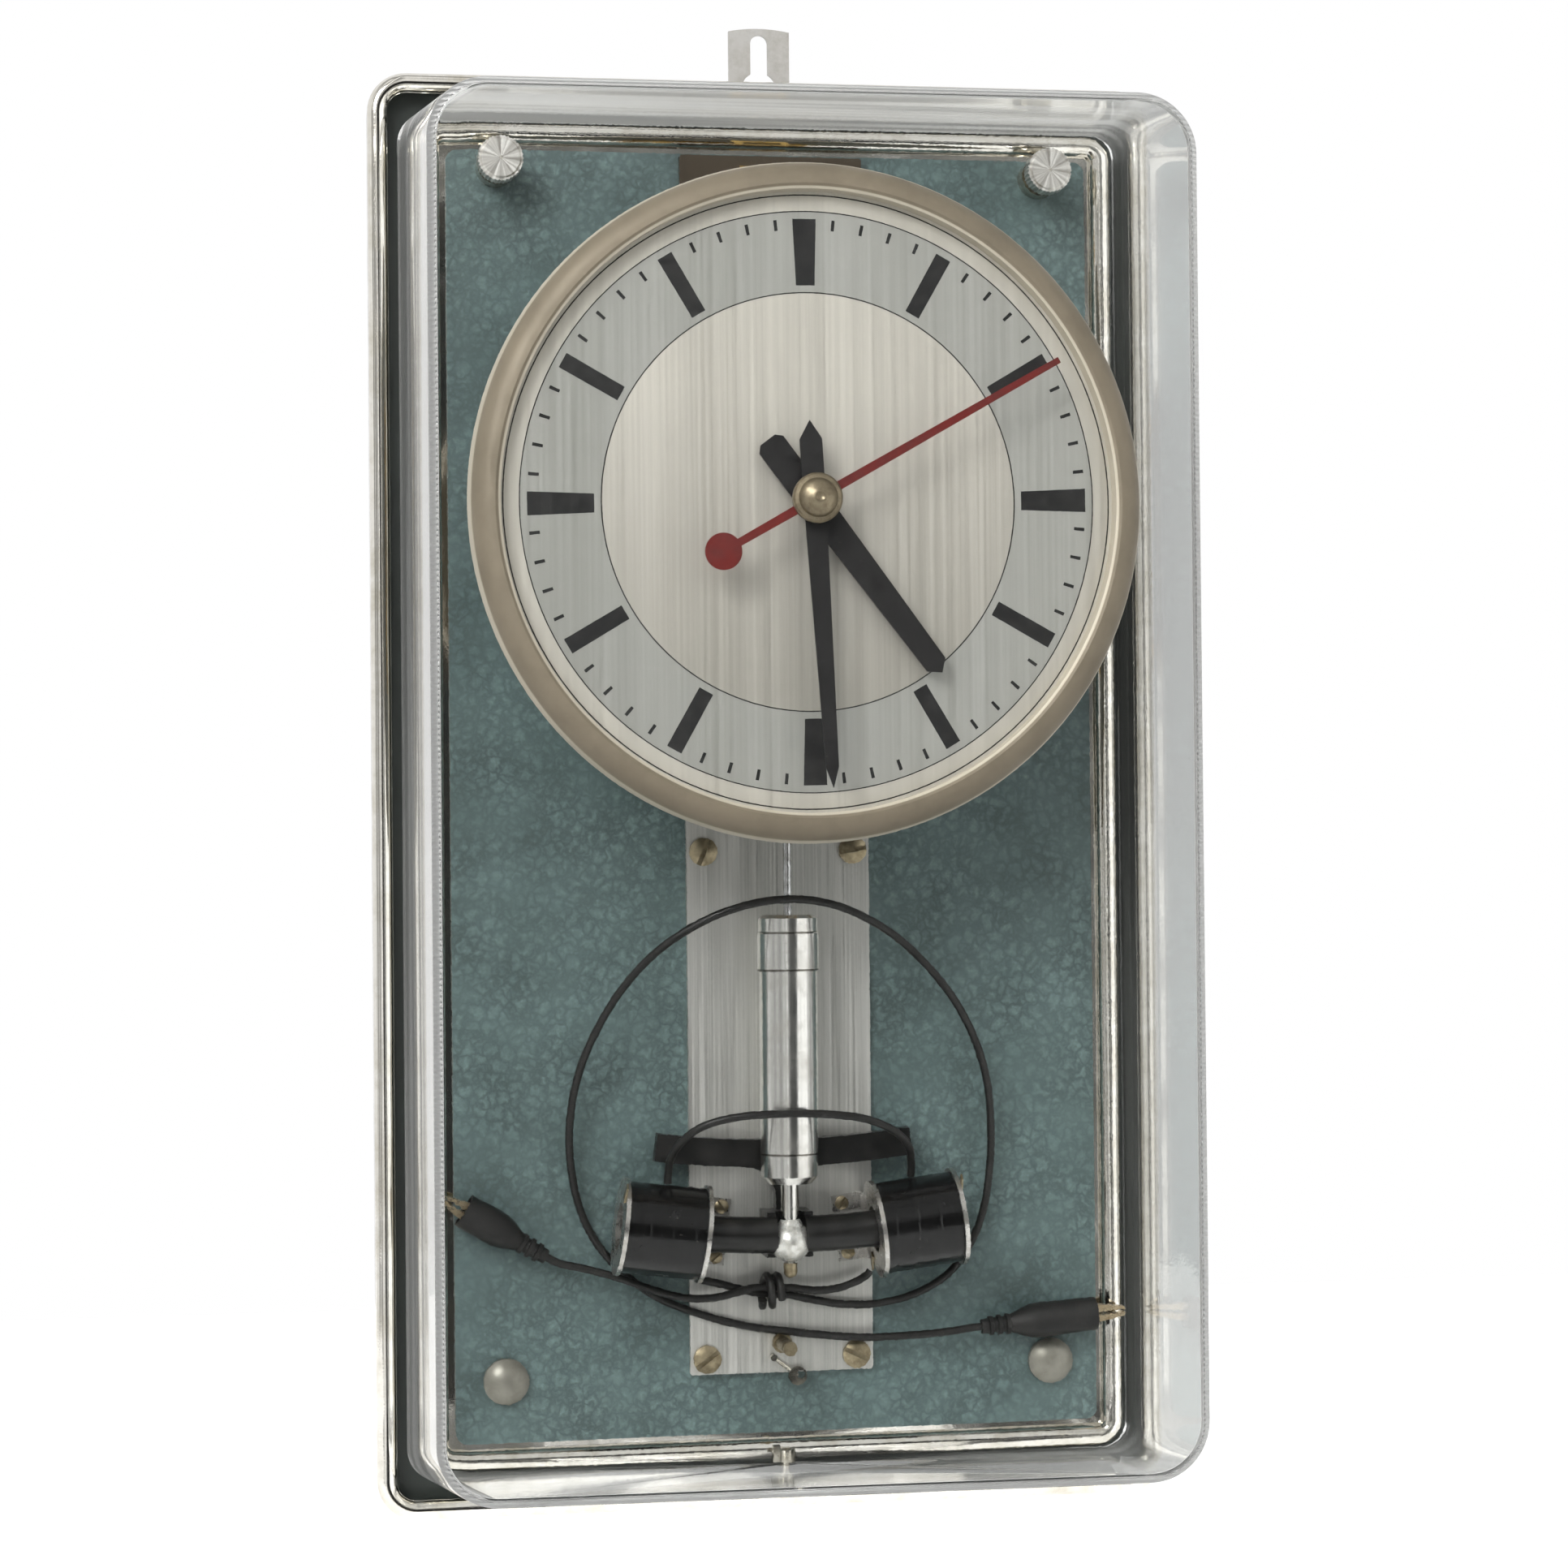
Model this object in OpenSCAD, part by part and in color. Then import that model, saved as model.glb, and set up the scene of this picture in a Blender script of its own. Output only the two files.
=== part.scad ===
// Electric pendulum wall clock, in millimetres.
// Every piece is drawn as seen by someone facing the clock: x to the right, y up from the middle of
// the case, z out from the wall. The module hung() then turns the whole clock upright and puts the
// origin at the seat of the keyhole, where the wall hook carries it.

/* [Case] */
// Width of the case over its rolled rim
case_w = 224; // [212:1:240]
// Height of the case over its rolled rim
case_h = 400; // [396:1:420]
// Radius of the outer corners
case_corner = 11; // [9:0.5:13]
// Height of the rim above the tray's back
case_depth = 14; // [13:0.5:16]
// Radius of the roll along the rim
rim_r = 2.8; // [2.2:0.1:3.2]
// Thickness of the pressed steel
steel = 1.2; // [0.8:0.1:1.5]
// Width of the channel between the rim's edge and the bead
channel_w = 14; // [13.5:0.1:15]
// Height of the channel's floor above the tray's back
channel_lift = 6; // [4:0.5:7]
// Radius of the bright bead round the panel
bead_r = 2.8; // [2:0.1:3]
// Outer corner radius of the bead
bead_corner = 7; // [6.5:0.5:10]
// Width of the ledge that carries the panel
ledge_w = 6; // [4:0.5:8]

/* [Panel] */
// Thickness of the painted back panel
panel_t = 1.5; // [1:0.1:2]
// Gap between the panel and the bead
panel_gap = 1.8; // [1:0.1:2.5]
// Corner radius of the panel
panel_corner = 3; // [1:0.5:5]

/* [Cover] */
// Thickness of the clear cover
cover_t = 3; // [2:0.5:3.5]
// Distance of the cover's front from the wall
cover_front = 103; // [100:1:112]
// Inset of the cover's side edge from the rim
cover_side = 8.6; // [8.2:0.1:9]
// Inset of the cover's top and bottom edge from the rim
cover_end = 9.8; // [9.4:0.1:10]
// How far each side wall leans in towards the front
lean_side = 1; // [0:0.1:2]
// How far the top and bottom walls lean in towards the front
lean_end = 5.5; // [3:0.1:6.5]
// Corner radius of the cover at its front
cover_corner = 17; // [13:1:20]
// Corner radius of the cover at its edge
edge_corner = 9; // [8.5:0.5:10]
// Rounding between the front and the walls
cover_round = 9; // [5:0.5:11]

/* [Hanger] */
// Thickness of the hanging tab
tab_t = 1.5; // [1:0.1:2]
// Width of the hanging tab
tab_w = 17.4; // [14:0.2:20]
// Height of the tab's top above the rim
tab_rise = 17.5; // [16.5:0.5:20]
// Height of the hook's seat above the rim
seat_rise = 13.2; // [12:0.1:13.5]
// Length of the tab behind the tray
tab_tail = 34; // [28:1:45]
// Radius of the narrow end of the keyhole
key_r = 2.5; // [2.2:0.1:3]
// Radius of the wide end of the keyhole
key_head_r = 5; // [4:0.2:5.6]
// Distance between the two ends of the keyhole
key_len = 13; // [11:0.5:14]
// Radius of the pads on the wall side
pad_r = 6; // [4:0.5:8]

/* [Posts and buttons] */
// Distance of the posts and buttons from the centre line
post_x = 77; // [70:0.5:79]
// Distance of the upper posts below the case's top edge
post_drop = 26.5; // [26:0.5:32]
// Distance of the lower buttons above the case's bottom edge
button_lift = 38.5; // [32:0.5:45]
// Radius of the thumb nuts and the buttons
nut_r = 6.3; // [5.5:0.1:6.5]
// Thickness of the thumb nuts
nut_t = 6; // [5:0.5:7]
// Radius of the collars under the thumb nuts
collar_r = 5.6; // [4.5:0.1:5.8]
// Height of the collars
collar_h = 6; // [4:0.5:7]
// Radius of the posts
post_r = 2; // [1.5:0.1:2.5]
// Distance from the panel to the front of the thumb nuts
nut_reach = 16.5; // [15.5:0.5:20]
// Height of the lower buttons
button_h = 4.6; // [3:0.2:6]

/* [Base plate] */
// Width of the aluminium base plate
plate_w = 51.6; // [50:0.2:54]
// Distance of the base plate's top edge below the case's top edge
plate_drop = 22; // [22:0.5:23]
// Distance of the base plate's bottom edge above the case's bottom edge
plate_lift = 38.3; // [36:0.1:39]
// Thickness of the base plate
plate_t = 2; // [1.5:0.1:2.5]
// Distance of the plate screws from the centre line
screw_x = 21.1; // [20:0.1:21.4]
// Distance of the top row of screws below the case's top edge
screw_drop = 75.4; // [72:0.2:80]
// Distance of the bottom row of screws above the case's bottom edge
screw_lift = 42.6; // [42.6:0.2:44]
// Radius of the plate screw heads
head_r = 3.9; // [3:0.1:4.1]
// Height of the plate screw heads
head_h = 1.9; // [1.4:0.1:2.4]
// Radius of the plate screw shanks
shank_r = 1.7; // [1.3:0.1:2]

/* [Dial] */
// Distance of the dial's centre below the case's top edge
dial_drop = 124; // [123:0.5:126]
// Distance of the dial's face from the wall
dial_face = 75.2; // [75.2:0.2:77]
// Thickness of the dial
dial_t = 1.2; // [0.8:0.1:1.4]
// Outer radius of the bezel
bezel_r = 90.5; // [88:0.5:92]
// Width of the bezel
bezel_w = 8.1; // [7:0.1:8.4]
// Height of the bezel's crown above the dial's face
bezel_rise = 5.8; // [4.5:0.1:7]
// Depth of the bezel's skirt behind the dial's face
bezel_skirt = 7; // [5:0.5:9]
// Radius of the dial feet
foot_r = 1.8; // [1.4:0.1:2]

/* [Hands] */
// Length of the minute hand from the centre
minute_len = 76; // [70:0.2:76.6]
// Length of the minute hand's tail
minute_tail = 20.9; // [15:0.1:24]
// Greatest width of the minute hand
minute_w = 6; // [5:0.1:7]
// Length of the hour hand from the centre
hour_len = 57; // [50:0.2:62]
// Length of the hour hand's tail
hour_tail = 19.8; // [14:0.2:22]
// Greatest width of the hour hand
hour_w = 8; // [7:0.1:9]
// Length of the second hand from the centre
second_len = 75.4; // [70:0.2:77]
// Distance of the second hand's disc from the centre
second_tail = 28.5; // [22:0.1:32]
// Radius of the second hand's disc
second_disc = 4.9; // [3.5:0.1:6]
// Width of the second hand at the centre
second_w = 2.5; // [2:0.1:3]
// Thickness of the hands
hand_t = 0.7; // [0.5:0.1:0.9]
// Radius of the hub cap
cap_r = 6.6; // [5:0.1:7.5]
// Clockwise angle of the hour hand from twelve
hour_angle = 142.9; // [0:0.1:360]
// Clockwise angle of the minute hand from twelve
minute_angle = 176.7; // [0:0.1:360]
// Clockwise angle of the second hand from twelve
second_angle = 60.5; // [0:0.1:360]

/* [Movement] */
// Width of the movement plates
frame_w = 56; // [54:1:60]
// Height of the movement plates
frame_h = 84; // [80:1:92]
// Thickness of the movement plates
frame_t = 1.5; // [1.2:0.1:1.8]
// Radius of the pillars
pillar_r = 2.5; // [2:0.1:3]
// Distance of the pillars from the centre line
pillar_x = 20; // [20:0.5:22]
// Distance of the pillars above and below the centre
pillar_y = 34; // [32:0.5:36]
// Number of teeth on the count wheel
count_teeth = 60; // [60]
// Radius of the count wheel
count_r = 15; // [13:0.5:16]
// Depth of the count wheel's teeth
count_depth = 0.9; // [0.6:0.1:1.2]
// Thickness of the wheels
wheel_t = 1.2; // [1:0.1:1.4]
// Leaves on each pinion of the going train
pinion_leaves = 8; // [8]
// Teeth on the third wheel
third_teeth = 60; // [60]
// Teeth on the centre wheel
centre_teeth = 64; // [64]
// Module of the third wheel and its pinion
train_module = 0.5; // [0.45:0.01:0.55]
// Leaves on the cannon pinion
cannon_leaves = 12; // [12]
// Teeth on the motion wheel
motion_teeth = 36; // [36]
// Leaves on the motion wheel's pinion
motion_leaves = 10; // [10]
// Teeth on the hour wheel
hour_teeth = 40; // [40]
// Module of the cannon pinion and the motion wheel
motion_module = 0.5; // [0.45:0.01:0.55]
// Radius of the seconds arbor
arbor_r = 0.75; // [0.6:0.05:0.8]
// Running clearance of every shaft in its hole
run_gap = 0.05; // [0.03:0.01:0.08]

/* [Pendulum] */
// Distance of the point that the pendulum swings about below the case's top edge
pivot_drop = 40; // [38:0.5:42]
// Distance from the panel to the pendulum's plane
swing_depth = 17.5; // [17.5:0.1:19]
// Largest swing to each side that the clearances allow for, in degrees
swing_max = 2.3; // [1.5:0.1:2.3]
// Radius of the pendulum rod
rod_r = 1.15; // [0.9:0.05:1.3]
// Distance of the bob's top above the case's bottom edge
bob_lift = 166; // [164:0.5:170]
// Height of the bob's cap
bob_cap_h = 4.8; // [4:0.2:6]
// Radius of the bob's cap
bob_cap_r = 8.2; // [7.8:0.1:8.6]
// Height of the sleeve under the cap
sleeve_h = 10.2; // [8:0.2:12]
// Radius of the sleeve
sleeve_r = 8.5; // [8.3:0.1:8.8]
// Length of the bob's tube
tube_h = 50.5; // [48:0.5:51]
// Radius of the bob's tube
tube_r = 8; // [7.6:0.1:8.2]
// Height of the cup at the tube's lower end
cup_h = 8; // [7:0.2:9]
// Radius of the neck under the cup
neck_r = 2.45; // [2:0.05:2.8]
// Distance of the ball's centre above the case's bottom edge
ball_lift = 76.2; // [75.5:0.1:77]
// Radius of the ball
ball_r = 5.7; // [5:0.1:5.8]
// Radius of the bar magnet
magnet_r = 5; // [4.5:0.1:5.2]
// Distance of the bar magnet's middle above the case's bottom edge
magnet_lift = 78.1; // [77.5:0.1:79]
// Half the length of the bar magnet along its arc
magnet_half = 36; // [34:0.5:36.5]
// Distance of the return yoke's middle above the case's bottom edge
yoke_lift = 99.8; // [99:0.1:101]
// Half the length of the return yoke along its arc
yoke_half = 36; // [32:0.5:37]
// Depth of the return yoke's bar, top to bottom
yoke_h = 7.6; // [6:0.2:8]
// Thickness of the return yoke
yoke_t = 4.4; // [3.6:0.1:4.5]
// Radius of the rating nut
rating_r = 1.9; // [1.6:0.1:2.2]
// Height of the rating nut
rating_h = 4; // [3:0.2:5]

/* [Coils] */
// Distance along the arc from the middle to each coil's middle
coil_arc = 35.6; // [35.4:0.1:36]
// Length of each coil over its flanges
coil_len = 24; // [22:0.5:24.5]
// Radius of the coil flanges
flange_r = 13.4; // [13:0.1:13.6]
// Thickness of the coil flanges
flange_t = 1.2; // [0.8:0.1:1.4]
// Radius of the wound coil
wound_r = 12.6; // [11.5:0.1:12.8]
// Radius of the bore that the magnet swings in
bore_r = 6.4; // [6.3:0.1:6.8]
// Wall of the bobbin's tube
bobbin_wall = 0.9; // [0.7:0.1:1.2]
// Distance of the coil lugs above and below the coil's middle
lug_y = 7; // [6.6:0.1:7.4]
// Width of each coil lug
lug_w = 4.6; // [4.2:0.1:5]
// Thickness of the coil lugs
lug_t = 1; // [0.8:0.1:1.1]

/* [Leads and clips] */
// Diameter of the leads
lead_d = 2.2; // [2:0.1:2.4]
// Length of the right clip's boot
boot_len = 33; // [31:0.5:35]
// Length of the left clip's boot
left_boot_len = 26; // [25:0.5:28]
// Greatest radius of the boots
boot_r = 4.9; // [4.7:0.1:5.2]
// Length of the right clip's jaws beyond the boot
jaw_reach = 8.6; // [7:0.2:9]
// Length of the left clip's jaws beyond the boot
left_jaw_reach = 5.6; // [5:0.2:6.6]
// Width of the jaws across the clip
jaw_w = 3.4; // [3.2:0.1:3.6]

/* [Hidden] */
$fn = 64;

// A hair of clearance between faces that the checks should see apart
seat_gap = 0.3;

// Heights up the clock from the middle of the case. The dial, the movement and the pivot keep their
// distance from its top edge, the bob, the coils and the leads from its bottom edge.
top_y = case_h / 2;
foot_y = -case_h / 2;
post_y = top_y - post_drop;
button_y = foot_y + button_lift;
plate_top = top_y - plate_drop;
plate_bottom = foot_y + plate_lift;
screw_pitch = (top_y - screw_drop - foot_y - screw_lift) / 2;
screw_y = foot_y + screw_lift + screw_pitch;
dial_y = top_y - dial_drop;
pivot_y = top_y - pivot_drop;
bob_top = foot_y + bob_lift;
ball_y = foot_y + ball_lift;
magnet_y = foot_y + magnet_lift;
yoke_y = foot_y + yoke_lift;

// Heights above the wall, piece by piece from the back
tray_z = tab_t;
floor_z = tray_z + steel;
rim_z = tray_z + case_depth;
channel_z = tray_z + channel_lift;
panel_z = rim_z;
panel_back = panel_z - panel_t;
plate_z = panel_z + plate_t;
swing_z = panel_z + swing_depth;
cover_edge = channel_z + seat_gap;

// Outlines that sit inside one another
bead_w = case_w - 2 * channel_w;
bead_h = case_h - 2 * channel_w;
bead_top = rim_z + bead_r;
panel_w = bead_w - 4 * bead_r - 2 * panel_gap;
panel_h = bead_h - 4 * bead_r - 2 * panel_gap;
seat_y = case_h / 2 + seat_rise;

// Where the movement's wheels lie, from the pendulum's plane forward
rod_gap = 1.6;
count_z = swing_z + rod_r + rod_gap;
rear_z = count_z + wheel_t + 1.5;
dial_back = dial_face - dial_t;
front_z = dial_back - 15;
rear_front = rear_z + frame_t;
frame_front = front_z + frame_t;
first_pinion_z = rear_front + 1.2;
third_z = first_pinion_z + 1.6;
third_pinion_z = third_z + wheel_t + 3;
centre_z = third_pinion_z + 1.8;
cannon_z = frame_front + 0.6;
motion_z = cannon_z + 0.5;
motion_pinion_z = motion_z + wheel_t + 0.3;
hour_z = cannon_z + 5.4;
hour_hand_z = dial_face + 4.4;
minute_hand_z = hour_hand_z + hand_t + 2.2;
second_hand_z = minute_hand_z + hand_t + 2.4;
cap_h = 5.6;

// Pitch radii of the train
third_pitch = third_teeth * train_module / 2;
first_pitch = pinion_leaves * train_module / 2;
train_reach = third_pitch + first_pitch;
centre_module = 2 * train_reach / (pinion_leaves + centre_teeth);
centre_pitch = centre_teeth * centre_module / 2;
second_pitch = pinion_leaves * centre_module / 2;
motion_reach = (cannon_leaves + motion_teeth) * motion_module / 2;
hour_module = 2 * motion_reach / (motion_leaves + hour_teeth);
stud_r = 1;
cannon_bore = arbor_r + run_gap;
cannon_tube = 1.9;
hour_bore = cannon_tube + run_gap;
hour_tube = 3;

// The pendulum's parts, from the top down
swing_arm = pivot_y - magnet_y;
yoke_arm = pivot_y - yoke_y;
sleeve_top = bob_top - bob_cap_h - seat_gap;
tube_top = sleeve_top - sleeve_h;
tube_bottom = tube_top - tube_h;
cup_bottom = tube_bottom - cup_h;
yoke_z = swing_z - tube_r - 0.6 - yoke_t;
coil_angle = coil_arc / swing_arm * 180 / PI;
stub_y = ball_y - ball_r;

// Turns the clock upright, with the keyhole's seat at the origin and the wall at y = 0
module hung() rotate([90, 0, 0]) translate([0, -seat_y, 0]) children();

module at_dial() translate([0, dial_y, 0]) children();

module on_both_sides() for (side = [-1, 1]) scale([1, 1, 1]) mirror([side < 0 ? 1 : 0, 0, 0]) children();

// Rectangle with round corners, centred
module round_rect(w, h, r) {
    square([w - 2 * r, h], center = true);
    square([w, h - 2 * r], center = true);
    for (sx = [-1, 1], sy = [-1, 1]) translate([sx * (w / 2 - r), sy * (h / 2 - r)]) circle(r);
}

// Flat frame between two rounded rectangles
module flat_frame(w, h, r, inner_w, inner_h, inner_r) difference() {
    round_rect(w, h, r);
    round_rect(inner_w, inner_h, inner_r);
}

// Carries a profile round a rounded rectangle. The profile's x runs outwards from the corner's
// centre and its y runs away from the wall.
module framed(w, h, r) for (k = [0:3]) rotate(90 * k) {
    across = k % 2 == 0 ? w : h;
    along = k % 2 == 0 ? h : w;
    translate([across / 2 - r, along / 2 - r, 0]) rotate([90, 0, 0])
        linear_extrude(along - 2 * r) children();
    translate([across / 2 - r, along / 2 - r, 0]) rotate_extrude(angle = 90) children();
}

// Cylinder whose axis lies up the clock, from y0 to y1
module upright(y0, y1, r0, r1) translate([0, y0, 0]) rotate([-90, 0, 0])
    cylinder(h = y1 - y0, r1 = r0, r2 = r1);

// Round rivet head, its seat at z = 0
module round_head(r, h) intersection() {
    cylinder(h = h, r = r);
    translate([0, 0, h - 2.2 * r]) sphere(2.2 * r);
}

// Round screw head with a slot, its seat at z = 0
module slotted_head(r, h, turn) difference() {
    round_head(r, h);
    rotate(turn) translate([0, 0, h]) cube([3 * r, r / 3.2, h], center = true);
}

// The case

// The roll stands out past the wall under it
roll_out = 0.5;
wall_in = roll_out + steel;

module back_tray() color("silver") hung() difference() {
    union() {
        translate([0, 0, tray_z]) linear_extrude(steel)
            round_rect(case_w - 2 * roll_out, case_h - 2 * roll_out, case_corner - roll_out);
        translate([0, 0, tray_z]) linear_extrude(case_depth - rim_r)
            flat_frame(case_w - 2 * roll_out, case_h - 2 * roll_out, case_corner - roll_out,
                       case_w - 2 * wall_in, case_h - 2 * wall_in, case_corner - wall_in);
        framed(case_w, case_h, case_corner)
            translate([case_corner - rim_r, rim_z - rim_r]) circle(rim_r, $fn = 48);
    }
    // Room behind the rim for the hook's head
    translate([0, seat_y - key_len, 0]) cylinder(h = tray_z + 5.5, r = key_head_r + 2);
    at_rivets() cylinder(h = floor_z + 1, r = rivet_r + run_gap);
}

rivet_r = 1.6;

module at_rivets() for (k = [0, 1])
    translate([0, case_h / 2 - tab_tail + 5 + 9 * k, 0]) children();

module hanger_tab() color("lightgray") hung() difference() {
    union() {
        linear_extrude(tab_t) difference() {
            translate([-tab_w / 2, case_h / 2 - tab_tail])
                square([tab_w, tab_tail + tab_rise]);
            // The top edge is a shallow arch
            translate([0, case_h / 2 + tab_rise]) difference() {
                translate([-tab_w, -1]) square([2 * tab_w, 4]);
                translate([0, -2.5 * tab_w]) circle(2.5 * tab_w, $fn = 180);
            }
        }
        at_rivets() cylinder(h = floor_z, r = rivet_r);
        at_rivets() translate([0, 0, floor_z]) round_head(2.8, 1);
    }
    translate([0, 0, -1]) linear_extrude(tab_t + 2) {
        translate([0, seat_y]) circle(key_r);
        translate([-key_r, seat_y - key_len]) square([2 * key_r, key_len]);
        translate([0, seat_y - key_len]) circle(key_head_r);
    }
}

module wall_pads() color("dimgray") hung()
    for (sx = [-1, 1]) translate([sx * (case_w / 2 - 20), -case_h / 2 + 20, 0])
        cylinder(h = tray_z, r = pad_r);

module bead_frame() color("gainsboro") hung() difference() {
    union() {
        framed(bead_w, bead_h, bead_corner)
            translate([bead_corner - bead_r, panel_z]) circle(bead_r, $fn = 48);
        translate([0, 0, floor_z]) linear_extrude(panel_z - floor_z)
            flat_frame(bead_w, bead_h, bead_corner,
                       bead_w - 2 * steel, bead_h - 2 * steel, bead_corner - steel);
        tray_in = 2 * (wall_in + seat_gap);
        translate([0, 0, channel_z - steel]) linear_extrude(steel)
            flat_frame(case_w - tray_in, case_h - tray_in, case_corner - tray_in / 2,
                       bead_w - steel, bead_h - steel, bead_corner - steel / 2);
        translate([0, 0, panel_back - steel]) linear_extrude(steel)
            flat_frame(bead_w - steel, bead_h - steel, bead_corner - steel / 2,
                       panel_w - 2 * ledge_w, panel_h - 2 * ledge_w, panel_corner);
    }
    for (sx = [-1, 1], y = [post_y, button_y]) translate([sx * post_x, y, panel_back - steel - 1])
        cylinder(h = steel + 2, r = post_r + run_gap);
}

module back_panel() color("cadetblue") hung() difference() {
    translate([0, 0, panel_back]) linear_extrude(panel_t) round_rect(panel_w, panel_h, panel_corner);
    for (sx = [-1, 1]) {
        for (y = [post_y, button_y]) translate([sx * post_x, y, 0])
            cylinder(h = panel_z + 1, r = post_r + run_gap);
        for (k = [-1:1]) translate([sx * screw_x, screw_y + k * screw_pitch, 0])
            cylinder(h = panel_z + 1, r = shank_r + run_gap);
    }
}

// The cover's outer or inner skin, grown inwards by an inset
module cover_skin(inset, low, high) hull() {
    front_w = case_w / 2 - cover_side - lean_side - inset;
    front_h = case_h / 2 - cover_end - lean_end - inset;
    edge_w = case_w / 2 - cover_side - inset;
    edge_h = case_h / 2 - cover_end - inset;
    soft = cover_round - inset;
    plan = cover_corner - inset;
    low_corner = edge_corner - inset;
    for (sx = [-1, 1], sy = [-1, 1]) {
        translate([sx * (front_w - plan), sy * (front_h - plan), high - soft])
            rotate_extrude($fn = 40) intersection() {
                translate([plan - soft, 0]) circle(soft, $fn = 40);
                translate([0, -soft]) square([plan, 2 * soft]);
            }
        translate([sx * (edge_w - low_corner), sy * (edge_h - low_corner), low])
            cylinder(h = 0.02, r = low_corner, $fn = 40);
    }
}

module cover() color("white", 0.3) hung() difference() {
    cover_skin(0, cover_edge, cover_front);
    cover_skin(cover_t, cover_edge - 0.1, cover_front - cover_t);
    // Slot that slides over the catch screw, open at the cover's edge
    translate([0, catch_wall_y, 0]) {
        translate([-catch_slot, -8, 0]) cube([2 * catch_slot, 16, catch_z]);
        translate([0, 8, catch_z]) rotate([90, 0, 0]) cylinder(h = 16, r = catch_slot);
    }
}

// The catch screw stands in the slot and pinches the cover's lower wall
catch_z = 23;
catch_r = 2.6;
catch_shank = 1.3;
catch_slot = catch_shank + 0.6;
catch_lean = lean_end * (catch_z - cover_edge) / (cover_front - cover_round - cover_edge);
catch_wall_y = -case_h / 2 + cover_end + catch_lean + cover_t / 2;
catch_head_y = catch_wall_y - cover_t / 2 - 0.5;
catch_bush_y = catch_wall_y + cover_t / 2 + 0.5;

// Threaded bush on a post that stands on the bead, inside the cover
module catch_bracket() color("silver") hung() difference() {
    union() {
        translate([0, 0, catch_z]) upright(catch_bush_y, catch_bush_y + 3.4, catch_r, catch_r);
        translate([-1.6, catch_bush_y, bead_top + 0.02]) cube([3.2, 3.4, catch_z - bead_top]);
        translate([-catch_r - 1.2, catch_bush_y, catch_z - 1]) cube([2, 4.6, 2.6]);
    }
    translate([0, 0, catch_z]) upright(catch_bush_y - 1, catch_bush_y + 6,
        catch_shank + run_gap, catch_shank + run_gap);
}

// Its round head stands below the cover, with a slot across its end
module catch_screw() color("gainsboro") hung() translate([0, 0, catch_z]) difference() {
    union() {
        upright(catch_head_y - 0.1, catch_bush_y + 3, catch_shank, catch_shank);
        intersection() {
            upright(catch_head_y - 3.6, catch_head_y, catch_r, catch_r);
            translate([0, catch_head_y - 1.2, 0]) sphere(catch_r + 0.4);
        }
    }
    translate([-5, catch_head_y - 5, -0.4]) cube([10, 2.3, 0.8]);
}

module upper_posts() color("silver") hung() for (sx = [-1, 1]) translate([sx * post_x, post_y, 0]) {
    translate([0, 0, panel_back - steel - 3]) cylinder(h = nut_reach - 3 + panel_z - panel_back
        + steel + 3, r = post_r);
    translate([0, 0, panel_z]) cylinder(h = collar_h, r = collar_r);
    translate([0, 0, panel_z + collar_h]) cylinder(h = nut_reach - nut_t - collar_h - seat_gap, r = 3.4);
}

// Knurled cap nut, drawn with its front at z = 0
module thumb_nut() difference() {
    union() {
        translate([0, 0, -nut_t]) linear_extrude(nut_t - 0.6) polygon([for (k = [0:71])
            (nut_r - (k % 2 == 0 ? 0 : 0.3)) * [cos(5 * k), sin(5 * k)]]);
        translate([0, 0, -0.7]) cylinder(h = 0.7, r1 = nut_r - 0.6, r2 = nut_r - 1.1);
    }
    translate([0, 0, -nut_t - 1]) cylinder(h = nut_t - 1.6, r = post_r + run_gap);
    translate([0, 0, -0.5]) cylinder(h = 1, r1 = 0.2, r2 = 1);
}

module thumb_nut_left() color("lightgray") hung()
    translate([-post_x, post_y, panel_z + nut_reach]) thumb_nut();

module thumb_nut_right() color("lightgray") hung()
    translate([post_x, post_y, panel_z + nut_reach]) thumb_nut();

module lower_buttons() color("silver") hung() for (sx = [-1, 1]) translate([sx * post_x, button_y, 0]) {
    translate([0, 0, panel_back - steel - 3]) cylinder(h = panel_t + steel + 3.5, r = post_r);
    translate([0, 0, panel_z]) intersection() {
        cylinder(h = button_h, r = nut_r);
        translate([0, 0, button_h - 1.4 * nut_r]) sphere(1.4 * nut_r);
    }
}

// The base plate and what it carries

module base_plate() color("darkgray") hung() difference() {
    translate([0, (plate_top + plate_bottom) / 2, panel_z]) linear_extrude(plate_t)
        round_rect(plate_w, plate_top - plate_bottom, 0.8);
    for (sx = [-1, 1], k = [-1:1]) translate([sx * screw_x, screw_y + k * screw_pitch, panel_z - 1])
        cylinder(h = plate_t + 2, r = shank_r + run_gap);
    translate([hook_x, hook_y, panel_z - 1]) cylinder(h = plate_t + 2, r = hook_pin_r + run_gap);
}

module plate_screws() color("tan") hung()
    for (sx = [-1, 1], k = [-1:1]) translate([sx * screw_x, screw_y + k * screw_pitch, 0]) {
        translate([0, 0, plate_z]) slotted_head(head_r, head_h, 40 + 35 * k - 30 * sx);
        translate([0, 0, panel_back - 3]) cylinder(h = plate_z - panel_back + 3.2, r = shank_r);
    }

// The suspension: a bracket, a clamp with a slot, and a leaf spring that flexes in the slot
leaf_w = 6;
leaf_t = 0.2;
clamp_w = 8;
clamp_low = pivot_y + 2;
clamp_high = pivot_y + 9;
clamp_slot = 0.9;

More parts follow.
